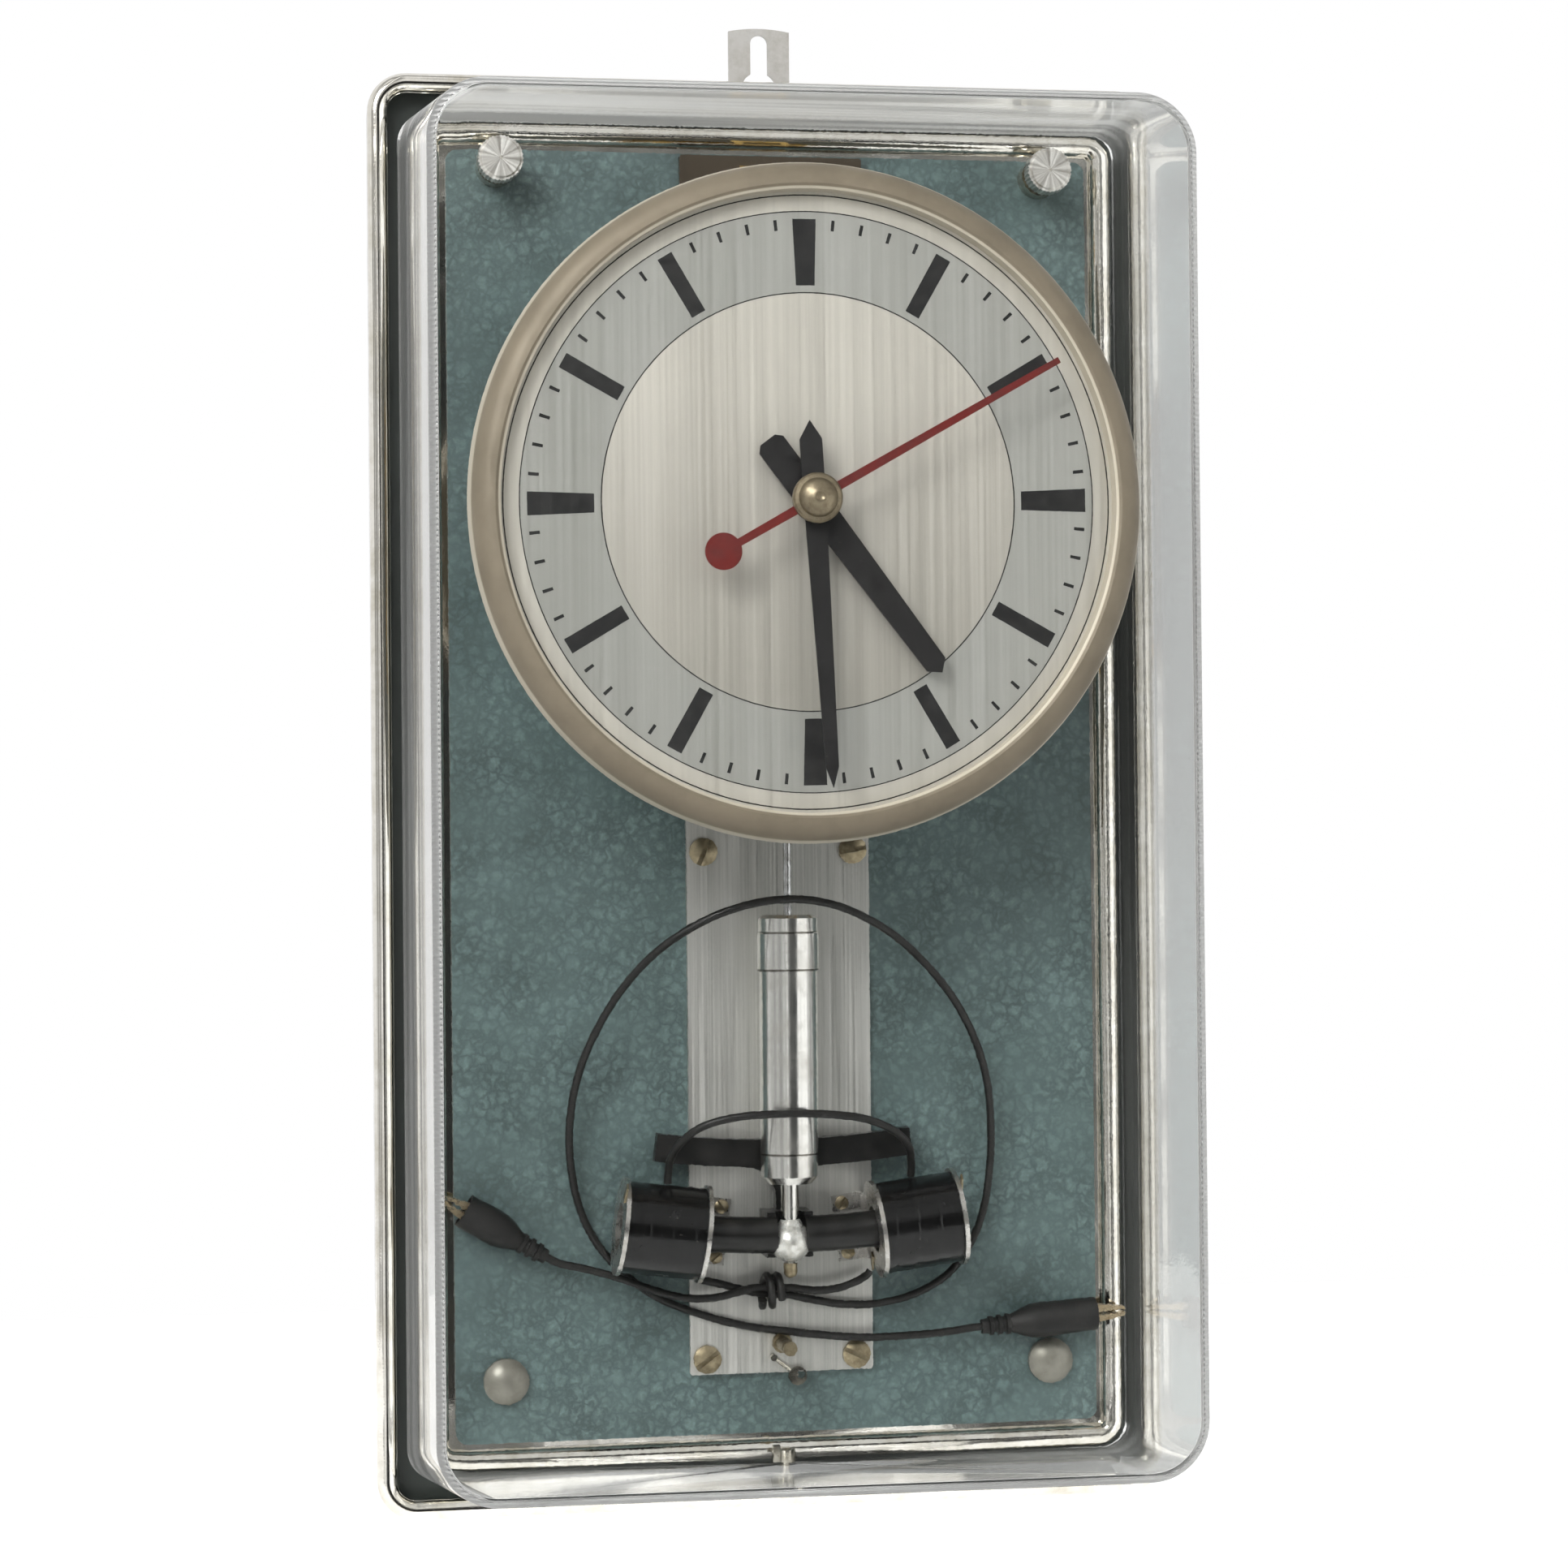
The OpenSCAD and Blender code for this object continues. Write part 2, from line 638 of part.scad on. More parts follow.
module suspension_bracket() color("goldenrod") hung() {
    translate([-9, clamp_low, plate_z]) cube([18, 13, 1.6]);
    for (sx = [-1, 1]) translate([sx * 6.6 - 1.2, clamp_low, plate_z])
        cube([2.4, 7, swing_z + leaf_w / 2 + 1 - plate_z]);
    for (sx = [-1, 1]) translate([sx * 5, clamp_low + 10, plate_z + 1.6]) slotted_head(1.9, 1.1, 20 * sx);
    difference() {
        translate([-5.4, clamp_low, swing_z - clamp_w / 2]) cube([10.8, 7, clamp_w]);
        translate([-clamp_slot / 2, clamp_low - 1, swing_z - leaf_w / 2 - 0.3])
            cube([clamp_slot, 4.6, leaf_w + 0.6]);
    }
}

module suspension_spring() color("steelblue") hung()
    translate([-leaf_t / 2, pivot_y - 7, swing_z - leaf_w / 2]) cube([leaf_t, 12, leaf_w]);

module pillars() color("goldenrod") hung() at_dial() for (sx = [-1, 1], sy = [-1, 1])
    translate([sx * pillar_x, sy * pillar_y, 0]) {
        difference() {
            translate([0, 0, plate_z]) cylinder(h = rear_z - plate_z, r = pillar_r);
            translate([0, 0, rear_z - 2]) cylinder(h = 3, r = 1.2);
        }
        difference() {
            translate([0, 0, rear_front]) cylinder(h = front_z - rear_front, r = pillar_r);
            translate([0, 0, front_z - 3]) cylinder(h = 4, r = 1.2);
        }
    }

module frame_outline() difference() {
    round_rect(frame_w, frame_h, 9);
    // The waist is cut in on both sides
    for (sx = [-1, 1]) translate([sx * (frame_w / 2 + 21), -2]) circle(24);
    for (sx = [-1, 1], sy = [-1, 1]) translate([sx * pillar_x, sy * pillar_y]) circle(1.3);
}

module rear_plate() color("goldenrod") hung() at_dial() difference() {
    translate([0, 0, rear_z]) linear_extrude(frame_t) frame_outline();
    translate([0, 0, rear_z - 1]) cylinder(h = frame_t + 2, r = arbor_r + run_gap);
    translate([0, train_reach, rear_z - 1]) cylinder(h = frame_t + 2, r = arbor_r + run_gap);
}

module front_plate() color("goldenrod") hung() at_dial() difference() {
    translate([0, 0, front_z]) linear_extrude(frame_t) frame_outline();
    translate([0, 0, front_z - 1]) cylinder(h = frame_t + 2, r = cannon_tube + run_gap);
    translate([0, train_reach, front_z - 1]) cylinder(h = frame_t + 2, r = arbor_r + run_gap);
    translate([0, -motion_reach, front_z - 1]) cylinder(h = frame_t + 2, r = stud_r + run_gap);
}

module movement_screws() color("steelblue") hung() at_dial() for (sx = [-1, 1], sy = [-1, 1])
    translate([sx * pillar_x, sy * pillar_y, 0]) {
        translate([0, 0, frame_front]) slotted_head(2.4, 1.3, 30 * sy + 15 * sx);
        translate([0, 0, front_z - 2.4]) cylinder(h = frame_front - front_z + 2.5, r = 1.15);
    }

// Wheels and pinions

// Outline of a gear: each tooth is widest at its root and rounded off over its tip. The shares
// are of one tooth pitch.
module gear(teeth, pitch_r, rise, fall, root_share, pitch_share, tip_share) {
    step = 360 / teeth;
    tooth = [
        [pitch_r - fall, -root_share / 2], [pitch_r, -pitch_share / 2],
        [pitch_r + 0.6 * rise, -0.8 * tip_share], [pitch_r + rise, -tip_share / 3],
        [pitch_r + rise, tip_share / 3], [pitch_r + 0.6 * rise, 0.8 * tip_share],
        [pitch_r, pitch_share / 2], [pitch_r - fall, root_share / 2]
    ];
    polygon([for (k = [0:teeth - 1]) for (p = tooth)
        p[0] * [cos((k + p[1]) * step), sin((k + p[1]) * step)]]);
}

module wheel_teeth(teeth, m) gear(teeth, teeth * m / 2, m, 1.25 * m, 0.5, 0.4, 0.16);

module leaf_teeth(teeth, m) gear(teeth, teeth * m / 2, 0.8 * m, 1.4 * m, 0.3, 0.34, 0.14);

// Cuts a wheel's web away between its arms
module crossed(rim_in, hub_r, arms, arm_w) {
    difference() {
        children();
        circle(rim_in);
    }
    circle(hub_r);
    for (k = [0:arms - 1]) rotate(360 / arms * k) translate([0, -arm_w / 2])
        square([rim_in + 0.3, arm_w]);
}

// Sixty saw teeth, one for each second
module count_wheel() color("gold") hung() at_dial() translate([0, 0, count_z])
    linear_extrude(wheel_t) difference() {
        step = 360 / count_teeth;
        crossed(count_r - 2.6, 3.2, 5, 1.4) polygon([for (k = [0:count_teeth - 1])
            for (p = [[count_r, 0], [count_r, 0.12], [count_r - count_depth, 0.92]])
                p[0] * [cos((k + p[1]) * step), sin((k + p[1]) * step)]]);
        circle(arbor_r + run_gap);
    }

module seconds_arbor() color("lightsteelblue") hung() at_dial() {
    translate([0, 0, count_z - 0.3]) cylinder(h = second_hand_z + hand_t + 1.5 - count_z, r = arbor_r);
    translate([0, 0, first_pinion_z]) linear_extrude(4.6) leaf_teeth(pinion_leaves, train_module);
}

// Half a step of turn, so that a pinion's leaf stands in a wheel's gap
function half_step(teeth) = 180 / teeth;

module third_wheel() color("gold") hung() at_dial() translate([0, train_reach, 0]) {
    translate([0, 0, third_z]) linear_extrude(wheel_t) rotate(-90 + half_step(third_teeth))
        crossed(third_pitch - 2.4, 3, 5, 1.3) wheel_teeth(third_teeth, train_module);
    translate([0, 0, third_pinion_z]) linear_extrude(4.6) rotate(-90 + half_step(pinion_leaves))
        leaf_teeth(pinion_leaves, centre_module);
    translate([0, 0, rear_z]) cylinder(h = frame_front - rear_z, r = arbor_r);
}

module centre_wheel() color("gold") hung() at_dial() translate([0, 0, centre_z])
    linear_extrude(wheel_t) difference() {
        rotate(90) crossed(centre_pitch - 2.6, 3.4, 4, 1.6) wheel_teeth(centre_teeth, centre_module);
        circle(cannon_tube + run_gap);
    }

module cannon_pinion() color("lightsteelblue") hung() at_dial() difference() {
    union() {
        translate([0, 0, centre_z - 0.8])
            cylinder(h = minute_hand_z + hand_t + 0.6 - centre_z + 0.8, r = cannon_tube);
        translate([0, 0, centre_z - 0.8]) cylinder(h = 0.8, r = cannon_tube + 0.8);
        translate([0, 0, cannon_z]) linear_extrude(4.6) rotate(-90)
            leaf_teeth(cannon_leaves, motion_module);
    }
    translate([0, 0, centre_z - 2]) cylinder(h = minute_hand_z, r = cannon_bore);
}

module motion_wheel() color("gold") hung() at_dial() translate([0, -motion_reach, 0]) difference() {
    union() {
        translate([0, 0, motion_z]) linear_extrude(wheel_t) rotate(90 + half_step(motion_teeth))
            wheel_teeth(motion_teeth, motion_module);
        translate([0, 0, motion_z + wheel_t]) linear_extrude(hour_z + wheel_t + 0.6 - motion_z - wheel_t)
            rotate(90) leaf_teeth(motion_leaves, hour_module);
    }
    translate([0, 0, motion_z - 1]) cylinder(h = 20, r = stud_r + run_gap);
}

module motion_stud() color("steelblue") hung() at_dial() translate([0, -motion_reach, 0]) {
    translate([0, 0, front_z]) cylinder(h = hour_z + wheel_t + 1.8 - front_z, r = stud_r);
    translate([0, 0, frame_front]) cylinder(h = motion_z - frame_front - 0.1, r = 1.6);
}

module hour_wheel() color("gold") hung() at_dial() difference() {
    union() {
        translate([0, 0, hour_z]) linear_extrude(wheel_t) rotate(-90 + half_step(hour_teeth))
            wheel_teeth(hour_teeth, hour_module);
        translate([0, 0, hour_z]) cylinder(h = hour_hand_z + hand_t + 0.6 - hour_z, r = hour_tube);
    }
    translate([0, 0, hour_z - 1]) cylinder(h = 30, r = hour_bore);
}

// Wire spring that rests beside the count wheel and holds it between pushes
click_x = -15;
click_y = -22;

module click_spring() color("silver") hung() at_dial() {
    translate([click_x, click_y, count_z]) cylinder(h = rear_z - count_z, r = 1.5);
    tip = (count_r + 0.55) * [cos(200), sin(200)];
    run = tip - [click_x, click_y];
    translate([click_x, click_y, count_z + wheel_t / 2]) rotate(atan2(run[1], run[0]))
        rotate([0, 90, 0]) cylinder(h = norm(run), r = 0.25, $fn = 24);
    translate([tip[0], tip[1], count_z + wheel_t / 2]) sphere(0.3, $fn = 24);
}

// The dial

module dial_feet() color("goldenrod") hung() at_dial() for (sx = [-1, 1], sy = [-1, 1])
    translate([sx * (frame_w / 2 - 4), sy * (frame_h / 2 - 16), frame_front])
        cylinder(h = dial_back - frame_front, r = foot_r);

bezel_in = bezel_r - bezel_w;
dial_r = bezel_in + 1.4;

module dial() color("whitesmoke") hung() at_dial() difference() {
    translate([0, 0, dial_back]) cylinder(h = dial_t, r = dial_r, $fn = 180);
    translate([0, 0, dial_back - 1]) cylinder(h = dial_t + 2, r = hour_tube + 0.4);
}

// Turned ring: its crown is a quarter of an ellipse, its skirt goes back round the dial
module bezel() color("tan") hung() at_dial() rotate_extrude($fn = 180) {
    crown_w = bezel_w - 1.4;
    crown_h = bezel_rise + 3;
    polygon(concat(
        [for (a = [0:10:90]) [bezel_r - crown_w + crown_w * cos(a), dial_face - 3 + crown_h * sin(a)]],
        [[bezel_in, dial_face + bezel_rise - 0.8], [bezel_in, dial_face], [dial_r + 0.1, dial_face],
         [dial_r + 0.1, dial_face - bezel_skirt], [bezel_r - 1.6, dial_face - bezel_skirt],
         [bezel_r - 0.4, dial_face - bezel_skirt + 1.2]]));
}

// The hands, each drawn pointing at twelve

module hour_hand() color("black") hung() at_dial() translate([0, 0, hour_hand_z])
    linear_extrude(hand_t) rotate(-hour_angle) difference() {
        w = hour_w / 2;
        nose = 0.76 * w;
        union() {
            polygon([[-w + 1.6, -hour_tail], [w - 1.6, -hour_tail], [w, -hour_tail + 1.6],
                     [w, 0], [nose, hour_len - 2.6], [0, hour_len], [-nose, hour_len - 2.6],
                     [-w, 0], [-w, -hour_tail + 1.6]]);
            circle(hour_tube + 2.4);
        }
        circle(hour_tube + run_gap);
    }

module minute_hand() color("black") hung() at_dial() translate([0, 0, minute_hand_z])
    linear_extrude(hand_t) rotate(-minute_angle) difference() {
        w = minute_w / 2;
        nose = 0.57 * w;
        union() {
            polygon([[0, -minute_tail], [w, -minute_tail + 5], [w, 0], [nose, minute_len - 5.5],
                     [0, minute_len], [-nose, minute_len - 5.5], [-w, 0], [-w, -minute_tail + 5]]);
            circle(cannon_tube + 2.6);
        }
        circle(cannon_tube + run_gap);
    }

module second_hand() color("darkred") hung() at_dial() translate([0, 0, second_hand_z])
    linear_extrude(hand_t) rotate(-second_angle) difference() {
        w = second_w / 2;
        union() {
            polygon([[-0.8 * w, -second_tail], [0.8 * w, -second_tail], [w, 0],
                     [0.68 * w, second_len], [-0.68 * w, second_len], [-w, 0]]);
            translate([0, -second_tail]) circle(second_disc);
            circle(cap_r - 1.6);
        }
        circle(arbor_r + run_gap);
    }

// Stepped cap with a dimple, pressed on the seconds arbor
module hub_cap() color("tan") hung() at_dial() translate([0, 0, second_hand_z + hand_t]) difference() {
    rotate_extrude() polygon([[0, 0], [cap_r, 0], [cap_r, 1.8], [cap_r - 0.5, 2.4], [cap_r - 1.4, 2.6],
        [cap_r - 1.8, 3.6], [cap_r - 2.6, 4.4], [cap_r - 3.8, 5], [cap_r - 5, cap_h], [0, cap_h]]);
    translate([0, 0, -1]) cylinder(h = 2.6, r = arbor_r + run_gap);
    translate([0, 0, cap_h + 1.6]) sphere(2);
}

// The pendulum

module in_swing_plane() translate([0, 0, swing_z]) children();

module pendulum_rod() color("silver") hung() in_swing_plane() {
    upright(bob_top - 2, pivot_y - 10, rod_r, rod_r);
    difference() {
        translate([-2.4, pivot_y - 11, -leaf_w / 2 - 0.8]) cube([4.8, 8, leaf_w + 1.6]);
        translate([-leaf_t / 2 - 0.01, pivot_y - 7.01, -leaf_w / 2 - 0.01])
            cube([leaf_t + 0.02, 5, leaf_w + 0.02]);
    }
}

// Arm clamped on the rod, with a finger that hangs over the count wheel's teeth
pawl_y = dial_y + count_r + 4;

module drive_pawl() color("khaki") hung() difference() {
    union() {
        in_swing_plane() upright(pawl_y, pawl_y + 4, 2.4, 2.4);
        translate([-1, pawl_y + 0.6, swing_z]) cube([2, 2.8, count_z + wheel_t - swing_z]);
        translate([0, 0, count_z]) linear_extrude(wheel_t) polygon([[-0.7, pawl_y + 1],
            [-0.25, dial_y + count_r + 0.45], [0.25, dial_y + count_r + 0.45], [0.7, pawl_y + 1]]);
    }
    in_swing_plane() upright(pawl_y - 1, pawl_y + 5, rod_r + 0.02, rod_r + 0.02);
}

module bob_cap() color("silver") hung() in_swing_plane() difference() {
    union() {
        upright(bob_top - bob_cap_h, bob_top - 0.9, bob_cap_r, bob_cap_r);
        upright(bob_top - 0.9, bob_top, bob_cap_r, bob_cap_r - 1.2);
        upright(sleeve_top, bob_top - bob_cap_h, bob_cap_r - 0.8, bob_cap_r - 0.8);
        upright(tube_top, sleeve_top, sleeve_r, sleeve_r);
    }
    upright(bob_top - 2, bob_top + 1, rod_r + 0.02, rod_r + 0.02);
}

module bob_tube() color("gainsboro") hung() in_swing_plane() difference() {
    upright(tube_bottom, tube_top, tube_r, tube_r);
    upright(tube_bottom - 1, tube_bottom + 6, tube_r - 1.2, tube_r - 1.2);
}

module bob_cup() color("silver") hung() in_swing_plane() {
    upright(tube_bottom, tube_bottom + 4, tube_r - 1.4, tube_r - 1.4);
    upright(cup_bottom + 2, tube_bottom, tube_r - 0.15, tube_r - 0.15);
    upright(cup_bottom, cup_bottom + 2, 6.1, tube_r - 0.15);
    upright(ball_y + ball_r + 0.4, cup_bottom, neck_r, neck_r);
}

// Bar bent to an arc about the pivot, between two angles from straight down
module swing_arc(arm, half) translate([0, pivot_y, 0]) rotate(-90 - half / arm * 180 / PI)
    rotate_extrude(angle = 2 * half / arm * 180 / PI, $fn = 180) translate([arm, 0]) children();

// Anchor-shaped black casting behind the bob: a curved bar, a stem with hollow sides, and the
// block that grips the magnet
module return_yoke() color("dimgray") hung() difference() {
    stem_top = yoke_y - yoke_h / 2 + 0.5;
    stem_low = magnet_y + magnet_r - 1;
    flare = 8.5;
    union() {
        translate([0, 0, yoke_z + yoke_t / 2]) swing_arc(yoke_arm, yoke_half)
            square([yoke_h, yoke_t], center = true);
        translate([0, 0, yoke_z]) linear_extrude(yoke_t) difference() {
            translate([-flare - 2.4, stem_low]) square([2 * flare + 4.8, stem_top - stem_low]);
            for (sx = [-1, 1]) translate([sx * (flare + 2.5), stem_top - flare - 0.4]) circle(flare);
            for (sx = [-1, 1]) translate([sx * (flare + 2.5) - flare, stem_low - 12])
                square([2 * flare, stem_top - flare - stem_low + 11.6]);
        }
        translate([-6.4, magnet_y - magnet_r - 1.2, yoke_z])
            cube([12.8, 2 * magnet_r + 2.4, swing_z - yoke_z]);
    }
    in_swing_plane() swing_arc(swing_arm, magnet_half) circle(magnet_r + 0.02, $fn = 48);
    in_swing_plane() translate([0, ball_y, 0]) sphere(ball_r + 0.05);
    in_swing_plane() upright(ball_y, cup_bottom + 1, neck_r + 1.6, neck_r + 1.6);
}

// Two bars, one on each side of the ball
module bar_magnet() color("black") hung() in_swing_plane() difference() {
    swing_arc(swing_arm, magnet_half) circle(magnet_r, $fn = 48);
    translate([0, ball_y, 0]) sphere(ball_r + 0.05);
    translate([-4, magnet_y - 2 * magnet_r, -2 * magnet_r]) cube([8, 4 * magnet_r, 4 * magnet_r]);
}

module magnet_ball() color("gainsboro") hung() in_swing_plane() {
    difference() {
        union() {
            translate([0, ball_y, 0]) sphere(ball_r);
            upright(ball_y + ball_r * 0.72, ball_y + ball_r + 0.4, 3.9, neck_r + 0.2);
        }
        upright(stub_y - 1, stub_y + 1.2, 0.9, 0.9);
    }
    upright(stub_y - rating_h + 0.6, stub_y + 1.2, 0.9, 0.9);
}

module rating_nut() color("gold") hung() in_swing_plane() difference() {
    union() {
        upright(stub_y - rating_h + 1.6, stub_y - 0.2, rating_r, rating_r);
        intersection() {
            translate([0, stub_y - rating_h + 1.6, 0]) sphere(rating_r);
            upright(stub_y - rating_h - 1, stub_y - rating_h + 1.6, rating_r, rating_r);
        }
    }
    upright(stub_y - rating_h + 0.5, stub_y + 1, 0.9 + run_gap, 0.9 + run_gap);
}

// The coils. Each is drawn in its own place on the arc, with its axis along x.

module at_coil() translate([0, pivot_y, 0]) rotate(coil_angle) translate([0, -swing_arm, swing_z])
    children();

module along_x(x0, x1, r) translate([x0, 0, 0]) rotate([0, 90, 0]) cylinder(h = x1 - x0, r = r);

module coil_bobbins() color("lightgray") hung() on_both_sides() at_coil() difference() {
    union() {
        along_x(-coil_len / 2, coil_len / 2, bore_r + bobbin_wall);
        along_x(-coil_len / 2, -coil_len / 2 + flange_t, flange_r);
        along_x(coil_len / 2 - flange_t, coil_len / 2, flange_r);
    }
    along_x(-coil_len, coil_len, bore_r);
}

module coil_windings() color("black") hung() on_both_sides() at_coil() difference() {
    reach = coil_len / 2 - flange_t - 0.05;
    along_x(-reach, reach, wound_r);
    along_x(-coil_len, coil_len, bore_r + bobbin_wall + 0.05);
}

// Angle pieces that stand each coil's inner flange on the base plate
lug_foot = 8.4;
lug_h = 5.4;
lug_in = -coil_len / 2;

module coil_lugs() color("silver") hung() on_both_sides() at_coil() for (sy = [-1, 1])
    translate([0, sy * lug_y, plate_z - swing_z]) difference() {
        union() {
            translate([lug_in - lug_foot, -lug_w / 2, 0]) cube([lug_foot, lug_w, lug_t]);
            translate([lug_in - lug_t, -lug_w / 2, 0]) cube([lug_t, lug_w, lug_h]);
        }
        translate([lug_in - lug_foot + 2.6, 0, -1]) cylinder(h = 4, r = 1.1);
    }

module lug_screws() color("goldenrod") hung() on_both_sides() at_coil() for (sy = [-1, 1])
    translate([lug_in - lug_foot + 2.6, sy * lug_y, plate_z - swing_z]) {
        translate([0, 0, lug_t]) slotted_head(1.9, 1.3, 50 * sy);
        cylinder(h = lug_t + 0.1, r = 1);
    }

// Brass tags on the flanges where the leads are soldered
tag_t = 0.5;

module solder_tags() color("khaki") hung() on_both_sides() at_coil() {
    for (sx = [-1, 1]) translate([sx * (coil_len / 2 + tag_t / 2), 0, 0])
        rotate([sx < 0 ? -138 : 42, 0, 0]) translate([-tag_t / 2, flange_r - 3, -1])
            cube([tag_t, 5.4, 2]);
}

// The post at the foot of the base plate and the hook beside it
rest_y = foot_y + 46.5;
rest_r = 2;
hook_x = -2.6;
hook_y = foot_y + screw_lift;
hook_pin_r = 0.9;

module transport_post() color("goldenrod") hung() translate([0, rest_y, plate_z]) difference() {
    union() {
        cylinder(h = swing_z - plate_z - 1, r = rest_r);
        cylinder(h = 1.2, r = rest_r + 0.8);
    }
    // Groove for the hook
    translate([0, 0, swing_z - plate_z - 3.4]) rotate_extrude()
        translate([rest_r - 0.5, 0]) square([1, 1.4]);
}

module transport_hook() color("gainsboro") hung() translate([hook_x, hook_y, 0]) {
    translate([0, 0, panel_z + 0.2]) cylinder(h = plate_t + 2.2, r = hook_pin_r);
    translate([0, 0, plate_z + 1]) rotate(-38) {
        rotate([0, 90, 0]) cylinder(h = 8.6, r = 0.6, $fn = 24);
        translate([8.6, 0, -0.6]) linear_extrude(1.2) difference() {
            circle(2.6, $fn = 40);
            translate([0.6, 0.9]) circle(1.2, $fn = 32);
        }
    }
}

// Leads. Each route is a list of points on the wire's middle, from where it leaves the clock's
// fixed pieces to its far end, with y up from the case's bottom edge.
module at_foot() translate([0, foot_y, 0]) children();

long_route = [
    [-24.2, 66.23, 22.2], [-23, 65.2, 22.3], [-19.6, 64.4, 22.4], [-14, 62.8, 22.1],
    [-9, 61.3, 21.5], [-4, 60.7, 21.4], [2, 60, 21.2], [8, 58.6, 20.6], [16, 57, 20],
    [26, 56.6, 19.5], [37, 58.8, 19.5], [46.7, 64, 19.6], [53.2, 72, 19.8], [57.4, 82.5, 20.1],
    [59.2, 95, 20.6], [59.2, 108, 21.8], [57.4, 120, 24.2], [53.4, 131, 27], [47.4, 141.4, 30],
    [39.6, 150.6, 33.8], [30.6, 158.6, 38.4], [21.4, 164.4, 41.8], [11.6, 168.6, 42.9],
    [1.1, 170.4, 43], [-10, 169.6, 43], [-20.6, 166.6, 42.6], [-30.4, 161.4, 39.4],
    [-39, 154.4, 34.8], [-47, 144.6, 30.4], [-53.8, 132.3, 27], [-57.8, 120.6, 23.8],
    [-59.5, 108.6, 21.9], [-59, 96.6, 20.7], [-56.4, 85, 19.9], [-51.4, 75.2, 19.4],
    [-44.4, 67.4, 19], [-34.6, 60.2, 18.8], [-21.6, 54.8, 18.9], [-9, 51.4, 19.3], [0, 50.1, 20.1],
    [9, 48.8, 20.4], [22.4, 47.6, 21.3], [36, 47.7, 21.6], [47, 48.4, 21.9], [53, 49.16, 22],
    [56, 49.4, 22]
];
short_route = [
    [24.25, 66.18, 22.3], [23.2, 65, 22.5], [20, 63.4, 23.2], [14.4, 61.8, 23.9], [8, 61.5, 24.1],
    [2, 62.4, 24.1], [-4, 62.8, 24], [-9.6, 62.6, 24.2], [-15, 61.4, 24.6], [-21.4, 60.4, 24.6],
    [-29, 60.8, 24], [-37.4, 63.2, 23.2], [-46.2, 66.6, 22.7], [-55, 69.2, 22.2],
    [-62.6, 71.1, 22], [-66.3, 73, 22]
];
link_route = [
    [-33.9, 93.2, 33.2], [-33.8, 96.4, 33.9], [-33.3, 100.4, 36.2], [-30.8, 105, 40.2],
    [-25.4, 109.2, 43.4], [-16, 111.6, 45], [-4, 112.2, 45.4], [8, 111.8, 45.2], [19, 110.2, 44.2],
    [27.6, 106.6, 41.4], [32.4, 102, 37.8], [33.8, 97.2, 34.6], [33.9, 93.2, 33.2]
];

function unit(v) = v / norm(v);
function turned(v, k) = v - (v * k) * k;

// Direction of the route at each of its points
function headings(path) = [for (i = [0:len(path) - 1])
    unit(path[min(i + 1, len(path) - 1)] - path[max(i - 1, 0)])];

// A side direction carried along the route without twist
function sides(heads, i = 0, side = undef) = i == len(heads) ? [] :
    let (start = abs(heads[0][2]) < 0.9 ? [0, 0, 1] : [1, 0, 0],
         here = unit(turned(side == undef ? start : side, heads[i])))
    concat([here], sides(heads, i + 1, here));

// Tube of eight sides swept along a route
module lead(path, d) {
    heads = headings(path);
    ring_sides = sides(heads);
    n = 8;
    rings = len(path);
    points = [for (i = [0:rings - 1]) for (k = [0:n - 1])
        let (a = 360 / n * (k + 0.5), u = ring_sides[i], v = cross(heads[i], u))
        path[i] + d / 2 * (cos(a) * u + sin(a) * v)];
    walls = [for (i = [0:rings - 2]) for (k = [0:n - 1])
        let (j = (k + 1) % n, a = i * n + k, b = i * n + j)
        for (t = [[a, b + n, b], [a, a + n, b + n]]) t];
    ends = [for (k = [1:n - 2]) for (t = [[0, k, k + 1],
        [(rings - 1) * n, (rings - 1) * n + k + 1, (rings - 1) * n + k]]) t];
    polyhedron(points, concat(walls, ends));
}

function route_length(path) = len(path) < 2 ? 0 :
    norm(path[1] - path[0]) + route_length([for (i = [1:len(path) - 1]) path[i]]);

module long_lead() color("black") hung() at_foot() lead(long_route, lead_d);

module short_lead() color("black") hung() at_foot() lead(short_route, lead_d);

module link_lead() color("black") hung() at_foot() lead(link_route, lead_d);

// Turns of the knot that ties both leads together, wound round an axis along x
knot_turns = 2;
knot_pitch = lead_d + 0.5;
knot_r = 4.1;
knot_rings = 16;
knot_route = [for (i = [0:knot_turns * knot_rings])
    let (a = 360 / knot_rings * i + 120)
    [-4 + knot_pitch * (i / knot_rings - knot_turns / 2), 61.7 + knot_r * cos(a),
     22.7 + knot_r * sin(a)]];

module lead_knot() color("black") hung() at_foot() lead(knot_route, lead_d);

// Clips. Each is drawn along x, with the lead's end at x = 0 and the jaws at the far end.
boot_wall = 0.7;
boot_neck = 9;
mouth_r = boot_r - 0.3;
hinge_back = 3;
hinge_r = 0.8;
ear_r = 2;
jaw_mid = jaw_w / 2 - 1;

module at_right_clip() translate([56, foot_y + 49.4, 22]) rotate(4.5) children();

module at_left_clip() translate([-66.3, foot_y + 73, 22]) rotate(149) children();

